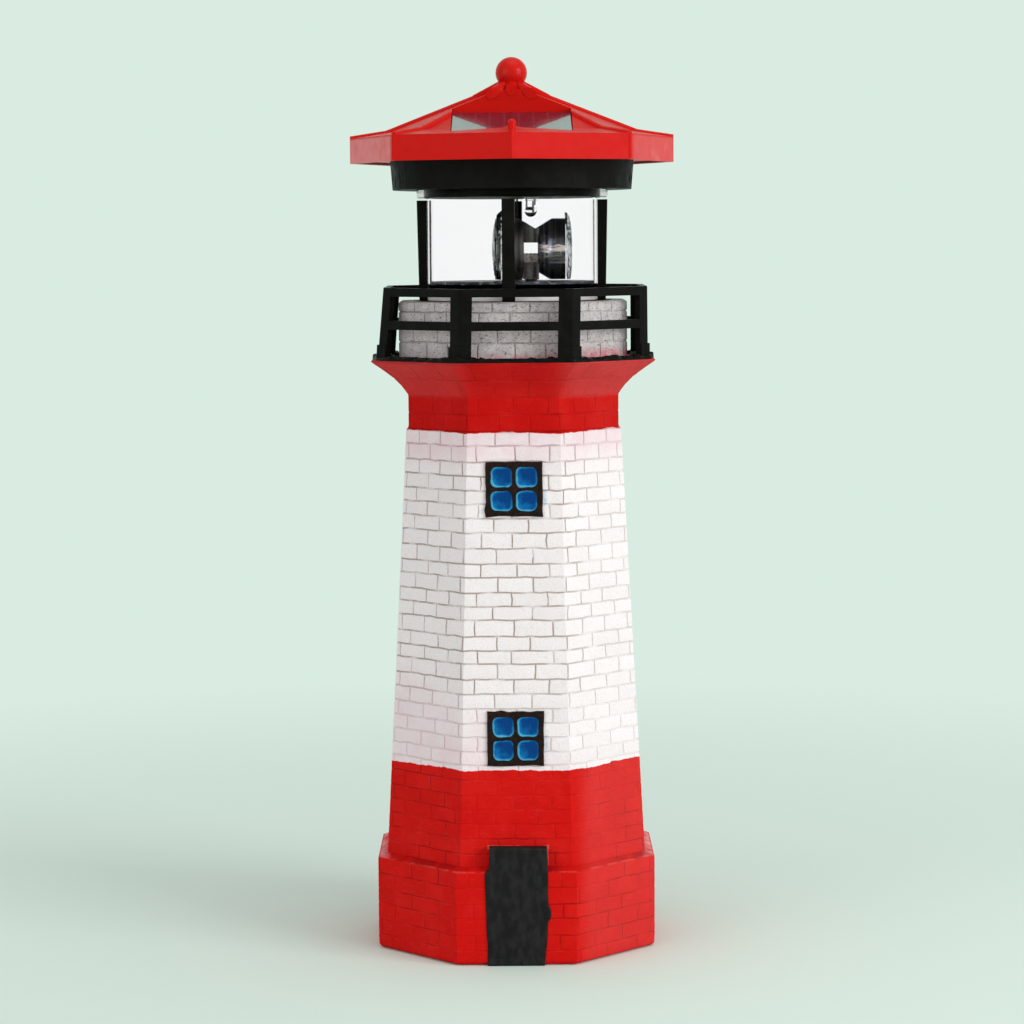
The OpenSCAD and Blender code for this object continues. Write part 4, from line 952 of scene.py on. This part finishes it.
def softened(node, material, width, segments=2, angle=35, change=None):
    """A copy of a CAD piece whose sharp edges are rounded off."""
    bm = bmesh.new()
    bm.from_mesh(frame["nodes"][node].data)
    bmesh.ops.remove_doubles(bm, verts=bm.verts, dist=2e-6)
    bmesh.ops.dissolve_limit(bm, angle_limit=math.radians(0.8), verts=bm.verts, edges=bm.edges)
    if change:
        change(bm)
    piece = new_object(bm, node + "_softened", body_of(node), material, 30)
    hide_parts(node)
    bevel = piece.modifiers.new("rounded edges", "BEVEL")
    bevel.width = width
    bevel.segments = segments
    bevel.limit_method = "ANGLE"
    bevel.angle_limit = math.radians(angle)


# ---- railing ----

CORNER_DEGREES = 4.5
BARE_SHARE = 0.3


def leaning(bm):
    """Leans the railing to its right, with its left front post set over and its top rail bowed down."""
    deck = tower().deck_top
    for vert in bm.verts:
        rise = max(vert.co.z - deck - 3 * MM, 0.0) / (RAIL_HIGH.z - deck)
        post = max(1.0 - abs(vert.co.x + 23 * MM) / (14 * MM), 0.0) if vert.co.y < -45 * MM else 0.0
        if vert.co.z > RAIL_HIGH.z - 0.3 * MM:
            vert.co.z -= 0.6 * MM * max(-vert.co.y / RAIL_HIGH.x, 0.0)
        vert.co.x += rise * 1.15 * MM * (1 - vert.co.x / (45 * MM)) + post * (1 - rise) * 1.6 * MM


def glue_bead(half, deck):
    """A wavering bead of glue round the railing's foot, higher at its corners, kept on the deck."""
    bm = bmesh.new()
    start = [bm.verts.new((*corner, deck)) for corner in octagon_corners(half + 1.1 * MM)]
    edges = [bm.edges.new(pair) for pair in zip(start, start[1:] + start[:1])]
    bmesh.ops.subdivide_edges(bm, edges=edges, cuts=25)
    rim = list(bm.edges)
    for out, rise in ((1.0, 0.5), (0.55, 0.85), (-0.2, 1.0), (-2.2, 1.0), (-3.3, 0.7), (-3.9, 0.0)):
        rim = ring_on(bm, rim, octagon_reach(half + out * MM), deck + rise * MM)
    deck_edge = octagon_reach(DECK_HALF)
    for vert in bm.verts:
        radius, angle = vert.co.xy.length, math.atan2(vert.co.y, vert.co.x)
        side = 1 if radius > half else -1
        sway, fine = (noise.noise(Vector((math.cos(angle) * grain, math.sin(angle) * grain, side * apart)))
                      for grain, apart in ((9, 2.0), (30, 5.0)))
        grow = (sway * 1.3 + fine * 0.8) * MM * side
        off_corner = min(abs((math.degrees(angle) + 22.5 + 45 * k) % 360 - 180) for k in range(8))
        fillet = max(0.0, 1.0 - off_corner / CORNER_DEGREES) * 0.9 * MM
        vert.co.xy *= 1 + (grow - 0.2 * MM) / radius
        if vert.co.z > deck + 0.1 * MM:
            vert.co.z += max(-0.4, sway + fine * 0.7 + 0.2) * 1.5 * MM + fillet
        vert.co.xy *= min(deck_edge(vert.co.xy) / vert.co.xy.length, 1.0)
    bmesh.ops.bridge_loops(bm, edges=open_edges(bm))
    return bm


def build_railing():
    """Octagonal railing with softened edges, and the black glue that squeezed out round its feet."""
    softened("gallery_railing", black_finish("railing_black", gloss=0.3), 0.4 * MM,
             change=leaning)
    deck, half = tower().deck_top, RAIL_HIGH.x
    bm = glue_bead(half, deck)
    rng = random.Random(4)
    inner = octagon_corners(half - 3.4 * MM)
    for i in range(8):
        for share in (0.13, 0.87):
            if rng.random() < BARE_SHARE:
                continue
            spot = inner[i].lerp(inner[(i + 1) % 8], share + rng.uniform(-0.03, 0.03))
            wide, tall = rng.uniform(1.6, 2.7) * MM, rng.uniform(1.2, 2.2) * MM
            place = (Matrix.Translation((*spot, deck + 0.3 * MM)) @ Matrix.Rotation(i * math.pi / 4, 4, "Z")
                     @ Matrix.Diagonal((wide, 1.3 * MM, tall, 1)))
            for vert in bmesh.ops.create_icosphere(bm, subdivisions=3, radius=1.0, matrix=place)["verts"]:
                vert.co += noise.noise_vector(vert.co * 420) * 0.35 * MM
                vert.co.z = max(vert.co.z, deck)
    outward(bm)
    new_object(bm, "railing_glue", "tower", black_finish("glue_black", gloss=0.22), 60)


# ---- lantern ----

def fuller_foot(bm):
    """Widens the foot of the ring housing's outer wall."""
    foot = min(v.co.z for v in bm.verts)
    for vert in bm.verts:
        if vert.co.z < foot + 0.5 * MM and vert.co.xy.length > 45 * MM:
            vert.co.xy *= 1.016


def sunk_flange(bm):
    """Sinks the top of the lantern's flange almost level with the drum."""
    flange_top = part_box("clear_tube")[0].z
    for vert in bm.verts:
        if abs(vert.co.z - flange_top) < 0.05 * MM:
            vert.co.z -= 1.2 * MM


def finish(node, material):
    """Gives a CAD node that stays on show its own finish."""
    shown = frame["nodes"][node]
    if not shown.material_slots:
        shown.data.materials.append(material)
    for slot in shown.material_slots:
        slot.material = material


def corners_in_mm(corner, offsets):
    """Points of an outline, as offsets in millimetres from a corner."""
    return [(corner[0] + out * MM, corner[1] + up * MM) for out, up in offsets]


def build_lantern():
    """Black frame, cap and ring housing with softened edges, and the clear tube and floor."""
    black = black_finish("lantern_black")
    ring_black = black_finish("ring_black", (0.0045, 0.0044, 0.0034), 0.42)
    softened("lantern_frame", black, 0.25 * MM, change=sunk_flange)
    tube_low, tube_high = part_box("clear_tube")
    foot = turned(corners_in_mm((tube_high.x, tube_low.z), (
        (0.03, -1.15), (0.21, -1.15), (0.21, 1.7), (0.11, 1.9), (0.03, 1.9), (0.03, -1.15))), 96)
    frosted = plain_plastic("frosted_foot", (0.86, 0.87, 0.87), 0.3)
    new_object(foot, "tube_foot", "lantern", frosted, 40)
    low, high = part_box("glass_cap")
    edge = high.x
    disc = turned([(0, low.z), *corners_in_mm((edge, low.z), ((-3.1, 0), (-2.9, 0.3))),
                   *corners_in_mm((edge, high.z), ((-2.9, -0.1),)), (0, high.z - 0.1 * MM)], 96)
    flange = turned([*corners_in_mm((edge, low.z), ((-2.8, 0), (-0.5, 0), (-0.1, 0.3), (0, 0.9))),
                     *corners_in_mm((edge, high.z), ((0, -0.6), (-0.4, -0.1), (-2.8, -0.1))),
                     (edge - 2.8 * MM, low.z)], 96)
    disc = new_object(disc, "cap_disc", "lantern", ring_black, 40)
    pale = clear_finish("flange_plastic", 0.08, (0.62, 0.62, 0.63), bend=1.08)
    flange = new_object(flange, "cap_flange", "lantern", pale, 40)
    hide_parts("glass_cap")
    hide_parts("glass_cap")
    softened("ring_housing", ring_black, 0.8 * MM, segments=3, change=fuller_foot)
    finish("clear_tube", clear_finish("tube_plastic", 0.04, bend=1.04, painted_shade_below=261.4))
    finish("clear_floor", floor_disc_finish())


# ---- lenses and diode ----

CROWN_SET_OUT = 2.4 * MM


def build_lenses():
    """Two ridged lenses, cut flat at the foot."""
    rings, rim = 8, 0.9 * MM
    for node, side, set_out, fullness, share, spare in (
            ("lens_left", -1, 0.0, 2.3, 1.0, 1.8 * MM), ("lens_right", 1, CROWN_SET_OUT, 3.0, 0.95, 0.9 * MM)):
        low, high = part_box(node)
        radius = (high.y - low.y) / 2
        size, bulge = radius * share, high.x - low.x - spare - set_out
        outline = [(0, 0), (size * 0.6, 0), (size, 0), (size, rim * 0.9)]
        for i in range(rings, 0, -1):
            for back, sink in ((0.08, 0.45 * MM), (0.8, 0.0)):
                r = size * (i - back) / rings
                outline.append((r, max(rim + bulge * math.sqrt(1 - (r / size) ** fullness) - sink, rim)))
        bm = turned([*outline, (0, rim + bulge)], 96)
        lie_down(bm, side, (low.x if side > 0 else high.x) + side * set_out, high.z - radius)
        cut_level(bm, low.z, clear_inner=True)
        close_up(bm)
        plastic = lens_finish(node + "_plastic", mottled=side < 0)
        piece = new_object(bm, node + "_ridged", "rotor", plastic, 20)
        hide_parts(node)


def build_reflector():
    """Two plated cups back to back, with a shallow vee over an open slot."""
    low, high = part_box("reflector")
    lens_low, lens_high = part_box("lens_right")
    axis_x, axis_z = (low.x + high.x) / 2, lens_high.z - (lens_high.y - lens_low.y) / 2
    waist, reach = 2.8 * MM, lens_low.x - axis_x - 0.05 * MM
    wide, floor = 12.2 * MM, waist + 1.4 * MM
    bm = bmesh.new()
    for side, neck, full, rim in ((-1, 11.0 * MM, 4.8 * MM, reach),
                                  (1, 9.0 * MM, 8.3 * MM, reach + CROWN_SET_OUT)):
        cup = turned([(0, waist), (neck - 0.3 * MM, waist), (neck, waist + 0.2 * MM),
                      (wide - 0.3 * MM, full - 0.6 * MM), (wide, full), (wide, rim), (wide - 0.5 * MM, rim),
                      (4 * MM, floor), (0, floor)], 96)
        lie_down(cup, side, axis_x, axis_z)
        add_to(bm, cup)
    slot_low, slot_high, vee, vee_x = 269.4 * MM, 277.2 * MM, 282.7 * MM, axis_x + 1.8 * MM
    for bottom, top in ((slot_high, axis_z + 9.0 * MM), (low.z, slot_low)):
        block = bmesh.new()
        add_block(block, (axis_x, 0, (bottom + top) / 2), (2 * waist + 0.6 * MM, 14 * MM, top - bottom))
        cut(block, (vee_x, 0, 0), (1, 0, 0))
        for vert in block.verts:
            if bottom > slot_low and abs(vert.co.z - top) < SAME_PLACE:
                shoulder = axis_z + (9.1 if vert.co.x > vee_x else 11.2) * MM
                vert.co.z = vee if abs(vert.co.x - vee_x) < SAME_PLACE else shoulder
        add_to(bm, block)
    add_block(bm, (axis_x, 5 * MM, slot_low + 1.7 * MM), (2 * waist + 0.5 * MM, 1.2 * MM, 3.8 * MM))
    cut_level(bm, low.z, clear_inner=True)
    close_up(bm)
    piece = new_object(bm, "plated_cups", "rotor", chrome_finish(), 30)
    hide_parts("reflector")


def build_diode():
    """Round-nosed clear diode with its reflector cup, its bond wire post and two legs."""
    low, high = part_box("led")
    x, nose, steps = (low.x + high.x) / 2, 2.5 * MM, 10
    foot = low.z + 7.5 * MM
    turns = [math.pi / 2 * i / steps for i in range(steps + 1)]
    arc = [(nose * math.sin(a), low.z + nose * (1 - math.cos(a))) for a in turns]
    bm = turned([*arc, (nose, foot - 1.1 * MM), (nose + 0.4 * MM, foot - 1.0 * MM), (nose + 0.4 * MM, foot),
                 (0, foot)], 48)
    bmesh.ops.translate(bm, vec=(x, 0, 0), verts=bm.verts)
    piece = new_object(bm, "diode_body", "lantern", clear_finish("diode_epoxy", 0.04), 35)
    bm = bmesh.new()
    for side, top in ((-1, low.z + 3.4 * MM), (1, low.z + 4.6 * MM)):
        add_block(bm, (x + side * 1.27 * MM, 0, (top + high.z) / 2), (0.6 * MM, 0.6 * MM, high.z - top))
    bmesh.ops.create_cone(
        bm, cap_ends=True, segments=24, radius1=1.0 * MM, radius2=1.35 * MM, depth=1.3 * MM,
        matrix=Matrix.Translation((x - 0.45 * MM, 0, low.z + 3.3 * MM)) @ Matrix.Rotation(math.pi, 4, "X"))
    rounded(bm, list(bm.edges), 0.06 * MM, 1)
    metal = metal_finish("diode_leg_metal", (0.30, 0.30, 0.31))
    legs = new_object(bm, "diode_legs", "lantern", metal, 40)
    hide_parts("led")
    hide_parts("led")


# ---- roof ----

RIDGE_PEAK, RIDGE_SLOPE = 341.1 * MM, 0.39
ROLL_END_FOOT, BEAD_FOOT, COLLAR_FOOT = 316.4 * MM, 308.9 * MM, 333 * MM


def build_roof():
    """Roof shell with softened rolls, and the ball on top."""
    softened("roof", roof_finish(), 0.35 * MM, angle=28)
    low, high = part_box("finial")
    radius, neck, base = (high.x - low.x) / 2 + 0.2 * MM, 4.4 * MM, low.z + 5 * MM
    centre = high.z - radius
    turns = [math.radians(180 - 7 * i) for i in range(5, 26)]
    arc = [(radius * math.sin(a), centre + radius * math.cos(a)) for a in turns]
    bm = turned([(0, low.z), (2.0 * MM, low.z), (2.0 * MM, base), (neck, base), (neck, centre - 6.2 * MM),
                 (neck - 0.5 * MM, centre - 5.4 * MM), *arc, (0, high.z)], 64)
    piece = new_object(bm, "ball_finial", "lantern", roof_finish("ball_red", 0.14), 40)
    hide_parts("finial")


def ridge_point(out, radius, sink):
    """A point under the roof's corner ridge, at a distance from the axis."""
    return out * radius + up(RIDGE_PEAK - RIDGE_SLOPE * radius - sink)


def bar_between(bm, start, end, first, second, segments=14):
    """A round bar from one point to another, with a radius at each end."""
    axis = end - start
    place = Matrix.Translation((start + end) / 2) @ axis.to_track_quat("Z", "Y").to_matrix().to_4x4()
    bmesh.ops.create_cone(bm, cap_ends=True, segments=segments, radius1=first, radius2=second,
                          depth=axis.length, matrix=place)


def build_roof_trim():
    """Fat crowns of the corner rolls round the ball, their upturned ends, and beads down the eave's corners."""
    rim, bead = ROOF_HIGH.x, 0.95 * MM
    crowns, ends = bmesh.new(), bmesh.new()
    for i in range(8):
        out = Matrix.Rotation(math.pi / 4 * i, 3, "Z") @ Vector((0, -1, 0))
        bar_between(crowns, ridge_point(out, 3.0 * MM, 1.3 * MM), ridge_point(out, 14.5 * MM, 2.0 * MM),
                    2.5 * MM, 1.7 * MM, 20)
        top, set_in, size = (323.2, 1.9, 1.6) if i % 4 == 0 else (319.7, 2.2, 1.35)
        seat = out * (rim - set_in * MM)
        tip = seat - out * 0.4 * MM + up((top - size) * MM)
        bar_between(ends, seat + up(ROLL_END_FOOT), tip, size * MM, size * MM)
        bmesh.ops.create_icosphere(ends, subdivisions=3, radius=size * MM, matrix=Matrix.Translation(tip))
        if i % 2:
            foot = out * (rim - 0.75 * MM) + up(BEAD_FOOT)
            bar_between(ends, foot, foot + up(9.5 * MM), bead, bead)
    collar = turned(corners_in_mm((0, COLLAR_FOOT), (
        (0, 0), (9.5, 0), (9.5, 2.2), (7.25, 3.7), (3, 6), (0, 7))), 48)
    for part, pocket in ((crowns, 7.29 * MM), (collar, 7.06 * MM)):
        for side in (-1, 1):
            cut(part, (0, side * pocket, 0), (0, side, 0), clear_outer=True)
            bmesh.ops.holes_fill(part, edges=open_edges(part), sides=0)
    add_to(crowns, collar)
    for name, bm in (("roof_roll_crowns", crowns), ("roof_roll_ends", ends)):
        outward(bm)
        new_object(bm, name, "lantern", roof_finish(name + "_red"), 45)


def build_panels():
    """Solar panels with a bare rim and cells under clear resin."""
    for node in ("solar_panel_front", "solar_panel_rear"):
        softened(node, cell_finish(), 0.25 * MM)


# ---- drive, battery and wiring ----

def finish_works():
    """Finishes for the pieces inside the spigot, the ring housing and the roof."""
    screws = [*(f"lid_screw_{i}" for i in (1, 2, 3)), *(f"housing_screw_{i}" for i in (1, 2, 3, 4))]
    for material, nodes in (
            (plain_plastic("seal_black", (0.016, 0.016, 0.017), 0.62, 0.05), ("seal_ring",)),
            (black_finish("inner_black"), ("rotor_shaft", "gear_plate", "spigot_cup", "spigot_lid")),
            (plain_plastic("gear_ivory", (0.72, 0.68, 0.56)), ("rotor_gear", "idler_gear", "motor_pinion")),
            (metal_finish("turned_steel"), ("motor_shaft", "idler_pin", *screws)),
            (metal_finish("motor_can", rough=0.3), ("motor",)),
            (roof_finish("soffit_red"), ("soffit_plate",)),
            (battery_finish(), ("battery",)),
            (metal_finish("contact_plate", (0.66, 0.60, 0.50), 0.28), (
                "battery_contact_plus", "battery_contact_minus")),
            (plain_plastic("switch_case", (0.03, 0.03, 0.032)), ("switch_body",)),
            (plain_plastic("switch_white", (0.70, 0.70, 0.68)), ("switch_slider",)),
            (plain_plastic("red_sleeve", (0.045, 0.004, 0.004), 0.36), (
                "lead_board_switch", "lead_switch_battery", "panel_lead_front")),
            (plain_plastic("black_sleeve", (0.012, 0.012, 0.012), 0.36), (
                "lead_board_motor", "lead_battery_motor", "panel_lead_rear")),
            (board_finish(), ("circuit_board",))):
        for node in nodes:
            finish(node, material)


# ---- stage ----

LAMPS_AIM = Vector((0, 0, 0.17))
LAMPS = (("key", (1.25, -0.85, 0.6), 13.5, 0.8), ("fill", (-1.1, -1.0, 0.5), 4.0, 0.9),
         ("top", (0.1, -0.2, 1.5), 4.0, 1.0))  # name, place, watts, width in metres


def build_floor(look):
    """A wide disc that melts into the backdrop's colour away from the object."""
    bm = bmesh.new()
    bmesh.ops.create_circle(bm, cap_ends=True, segments=96, radius=9.0)
    mesh = bpy.data.meshes.new("floor")
    bm.to_mesh(mesh)
    bm.free()
    floor = bpy.data.objects.new("floor", mesh)
    bpy.context.scene.collection.objects.link(floor)
    kit = Finish("pale_floor", Roughness=0.9, Specular_IOR_Level=0.1)
    x, y, _ = kit.axes()
    away = kit.maths("SQRT", kit.plus(kit.maths("POWER", x, 2.0), kit.maths("POWER", y, 2.0)))
    direct = kit.seen_directly()
    glow = kit.add("Emission", Color=look.ground)
    melted = kit.blend(kit.times(direct, kit.fade(away, 0.12, 0.75)), kit.shader.outputs[0], glow.outputs[0])
    kit.join(melted, kit.nodes["Material Output"].inputs["Surface"])
    tone = kit.coats(look.ground, (kit.cloud(300, 0.3, 0.7, 0.0, 0.25, 2.0), shaded(look.ground, 0.98)))
    mesh.materials.append(kit.done(None, (0.78, 0.77, 0.76), (direct, tone)))


def build_world(look):
    """Even light from all round, with a pale green backdrop that is white behind glass."""
    world = bpy.data.worlds.new("studio")
    tree = Tree(world)
    light = tree.nodes["Background"]
    tree.join((1, 1, 1), light.inputs["Color"])
    tree.join(look.ambient, light.inputs["Strength"])
    backdrop, paper = (tree.add("Background", Color=tone, Strength=1.0) for tone in (look.ground, look.paper))
    shown = tree.blend(tree.seen_directly(), light.outputs[0], backdrop.outputs[0])
    glass = tree.add("LightPath").outputs["Is Transmission Ray"]
    tree.join(tree.blend(glass, shown, paper.outputs[0]), tree.nodes["World Output"].inputs["Surface"])
    bpy.context.scene.world = world


def build_stage():
    """Pale floor, soft lamps and the camera."""
    look, scene = stage(), bpy.context.scene
    build_floor(look)
    build_world(look)
    for name, place, watts, wide in LAMPS:
        data = bpy.data.lights.new(name, "AREA")
        data.energy = watts
        data.size = wide
        lamp = bpy.data.objects.new(name, data)
        lamp.location = place
        lamp.rotation_euler = (LAMPS_AIM - Vector(place)).to_track_quat("-Z", "Y").to_euler()
        scene.collection.objects.link(lamp)

    data = bpy.data.cameras.new("camera")
    data.lens = look.focal
    data.sensor_width = 36.0
    data.clip_start = 0.01
    data.clip_end = 50.0
    camera = bpy.data.objects.new("camera", data)
    turn = Matrix.Rotation(math.pi / 2 - look.tilt, 4, "X") @ Matrix.Rotation(-look.roll, 4, "Z")
    camera.matrix_world = Matrix.Translation((-look.left, -look.distance, look.eye)) @ turn
    scene.collection.objects.link(camera)
    scene.camera = camera
    scene.view_settings.view_transform = "Standard"


# ---- operators and panel ----

class LIGHTHOUSE_OT_tower(Operator):
    """Build the cast tower with its carved brickwork"""
    bl_idname = "lighthouse.tower"
    bl_label = "Tower"

    def execute(self, context):
        build_tower()
        return {"FINISHED"}


class LIGHTHOUSE_OT_windows(Operator):
    """Build the two windows and the door"""
    bl_idname = "lighthouse.windows"
    bl_label = "Windows and door"

    def execute(self, context):
        for name, height, seed in (("low", 87.4 * MM, 3), ("high", 183.2 * MM, 8)):
            build_window_bars(name, height, seed)
            build_window_panes(name, height, seed)
        build_door()
        return {"FINISHED"}


class LIGHTHOUSE_OT_railing(Operator):
    """Build the gallery railing and its glue"""
    bl_idname = "lighthouse.railing"
    bl_label = "Railing"

    def execute(self, context):
        build_railing()
        return {"FINISHED"}


class LIGHTHOUSE_OT_lantern(Operator):
    """Build the lantern's frame, cap and ring, and finish its clear pieces"""
    bl_idname = "lighthouse.lantern"
    bl_label = "Lantern"

    def execute(self, context):
        build_lantern()
        return {"FINISHED"}


class LIGHTHOUSE_OT_lenses(Operator):
    """Build the lenses, the plated cups and the diode"""
    bl_idname = "lighthouse.lenses"
    bl_label = "Lenses and diode"

    def execute(self, context):
        build_lenses()
        build_reflector()
        build_diode()
        return {"FINISHED"}


class LIGHTHOUSE_OT_roof(Operator):
    """Build the roof, its ball and its solar panels"""
    bl_idname = "lighthouse.roof"
    bl_label = "Roof and panels"

    def execute(self, context):
        build_roof()
        build_roof_trim()
        build_panels()
        return {"FINISHED"}


class LIGHTHOUSE_OT_works(Operator):
    """Finish the drive, the battery and the wiring"""
    bl_idname = "lighthouse.works"
    bl_label = "Works"

    def execute(self, context):
        finish_works()
        return {"FINISHED"}


class LIGHTHOUSE_OT_stage(Operator):
    """Set up the floor, the lamps and the camera"""
    bl_idname = "lighthouse.stage"
    bl_label = "Stage"

    def execute(self, context):
        build_stage()
        return {"FINISHED"}


OPERATORS = (LIGHTHOUSE_OT_tower, LIGHTHOUSE_OT_windows, LIGHTHOUSE_OT_railing, LIGHTHOUSE_OT_lantern,
             LIGHTHOUSE_OT_lenses, LIGHTHOUSE_OT_roof, LIGHTHOUSE_OT_works, LIGHTHOUSE_OT_stage)


class LIGHTHOUSE_PT_pieces(Panel):
    """Lists the lighthouse's pieces in the sidebar"""
    bl_idname = "LIGHTHOUSE_PT_pieces"
    bl_label = "Lighthouse"
    bl_space_type = "VIEW_3D"
    bl_region_type = "UI"
    bl_category = "Lighthouse"

    def draw(self, context):
        for operator in OPERATORS:
            self.layout.operator(operator.bl_idname)


SETTINGS = (("lighthouse_tower", TowerSettings), ("lighthouse_lantern", LanternSettings),
            ("lighthouse_stage", StageSettings))
CLASSES = (*(group for name, group in SETTINGS), *OPERATORS, LIGHTHOUSE_PT_pieces)


def register():
    noise.seed_set(NOISE_SEED)  # without it, vector noise is seeded from the clock
    for cls in CLASSES:
        bpy.utils.register_class(cls)
    for name, group in SETTINGS:
        setattr(bpy.types.Scene, name, PointerProperty(type=group))


def unregister():
    for name, group in SETTINGS:
        delattr(bpy.types.Scene, name)
    for cls in reversed(CLASSES):
        bpy.utils.unregister_class(cls)


def main():
    register()
    bpy.ops.lighthouse.tower()
    bpy.ops.lighthouse.windows()
    bpy.ops.lighthouse.railing()
    bpy.ops.lighthouse.lantern()
    bpy.ops.lighthouse.lenses()
    bpy.ops.lighthouse.roof()
    bpy.ops.lighthouse.works()
    bpy.ops.lighthouse.stage()


if __name__ == "__main__":
    main()
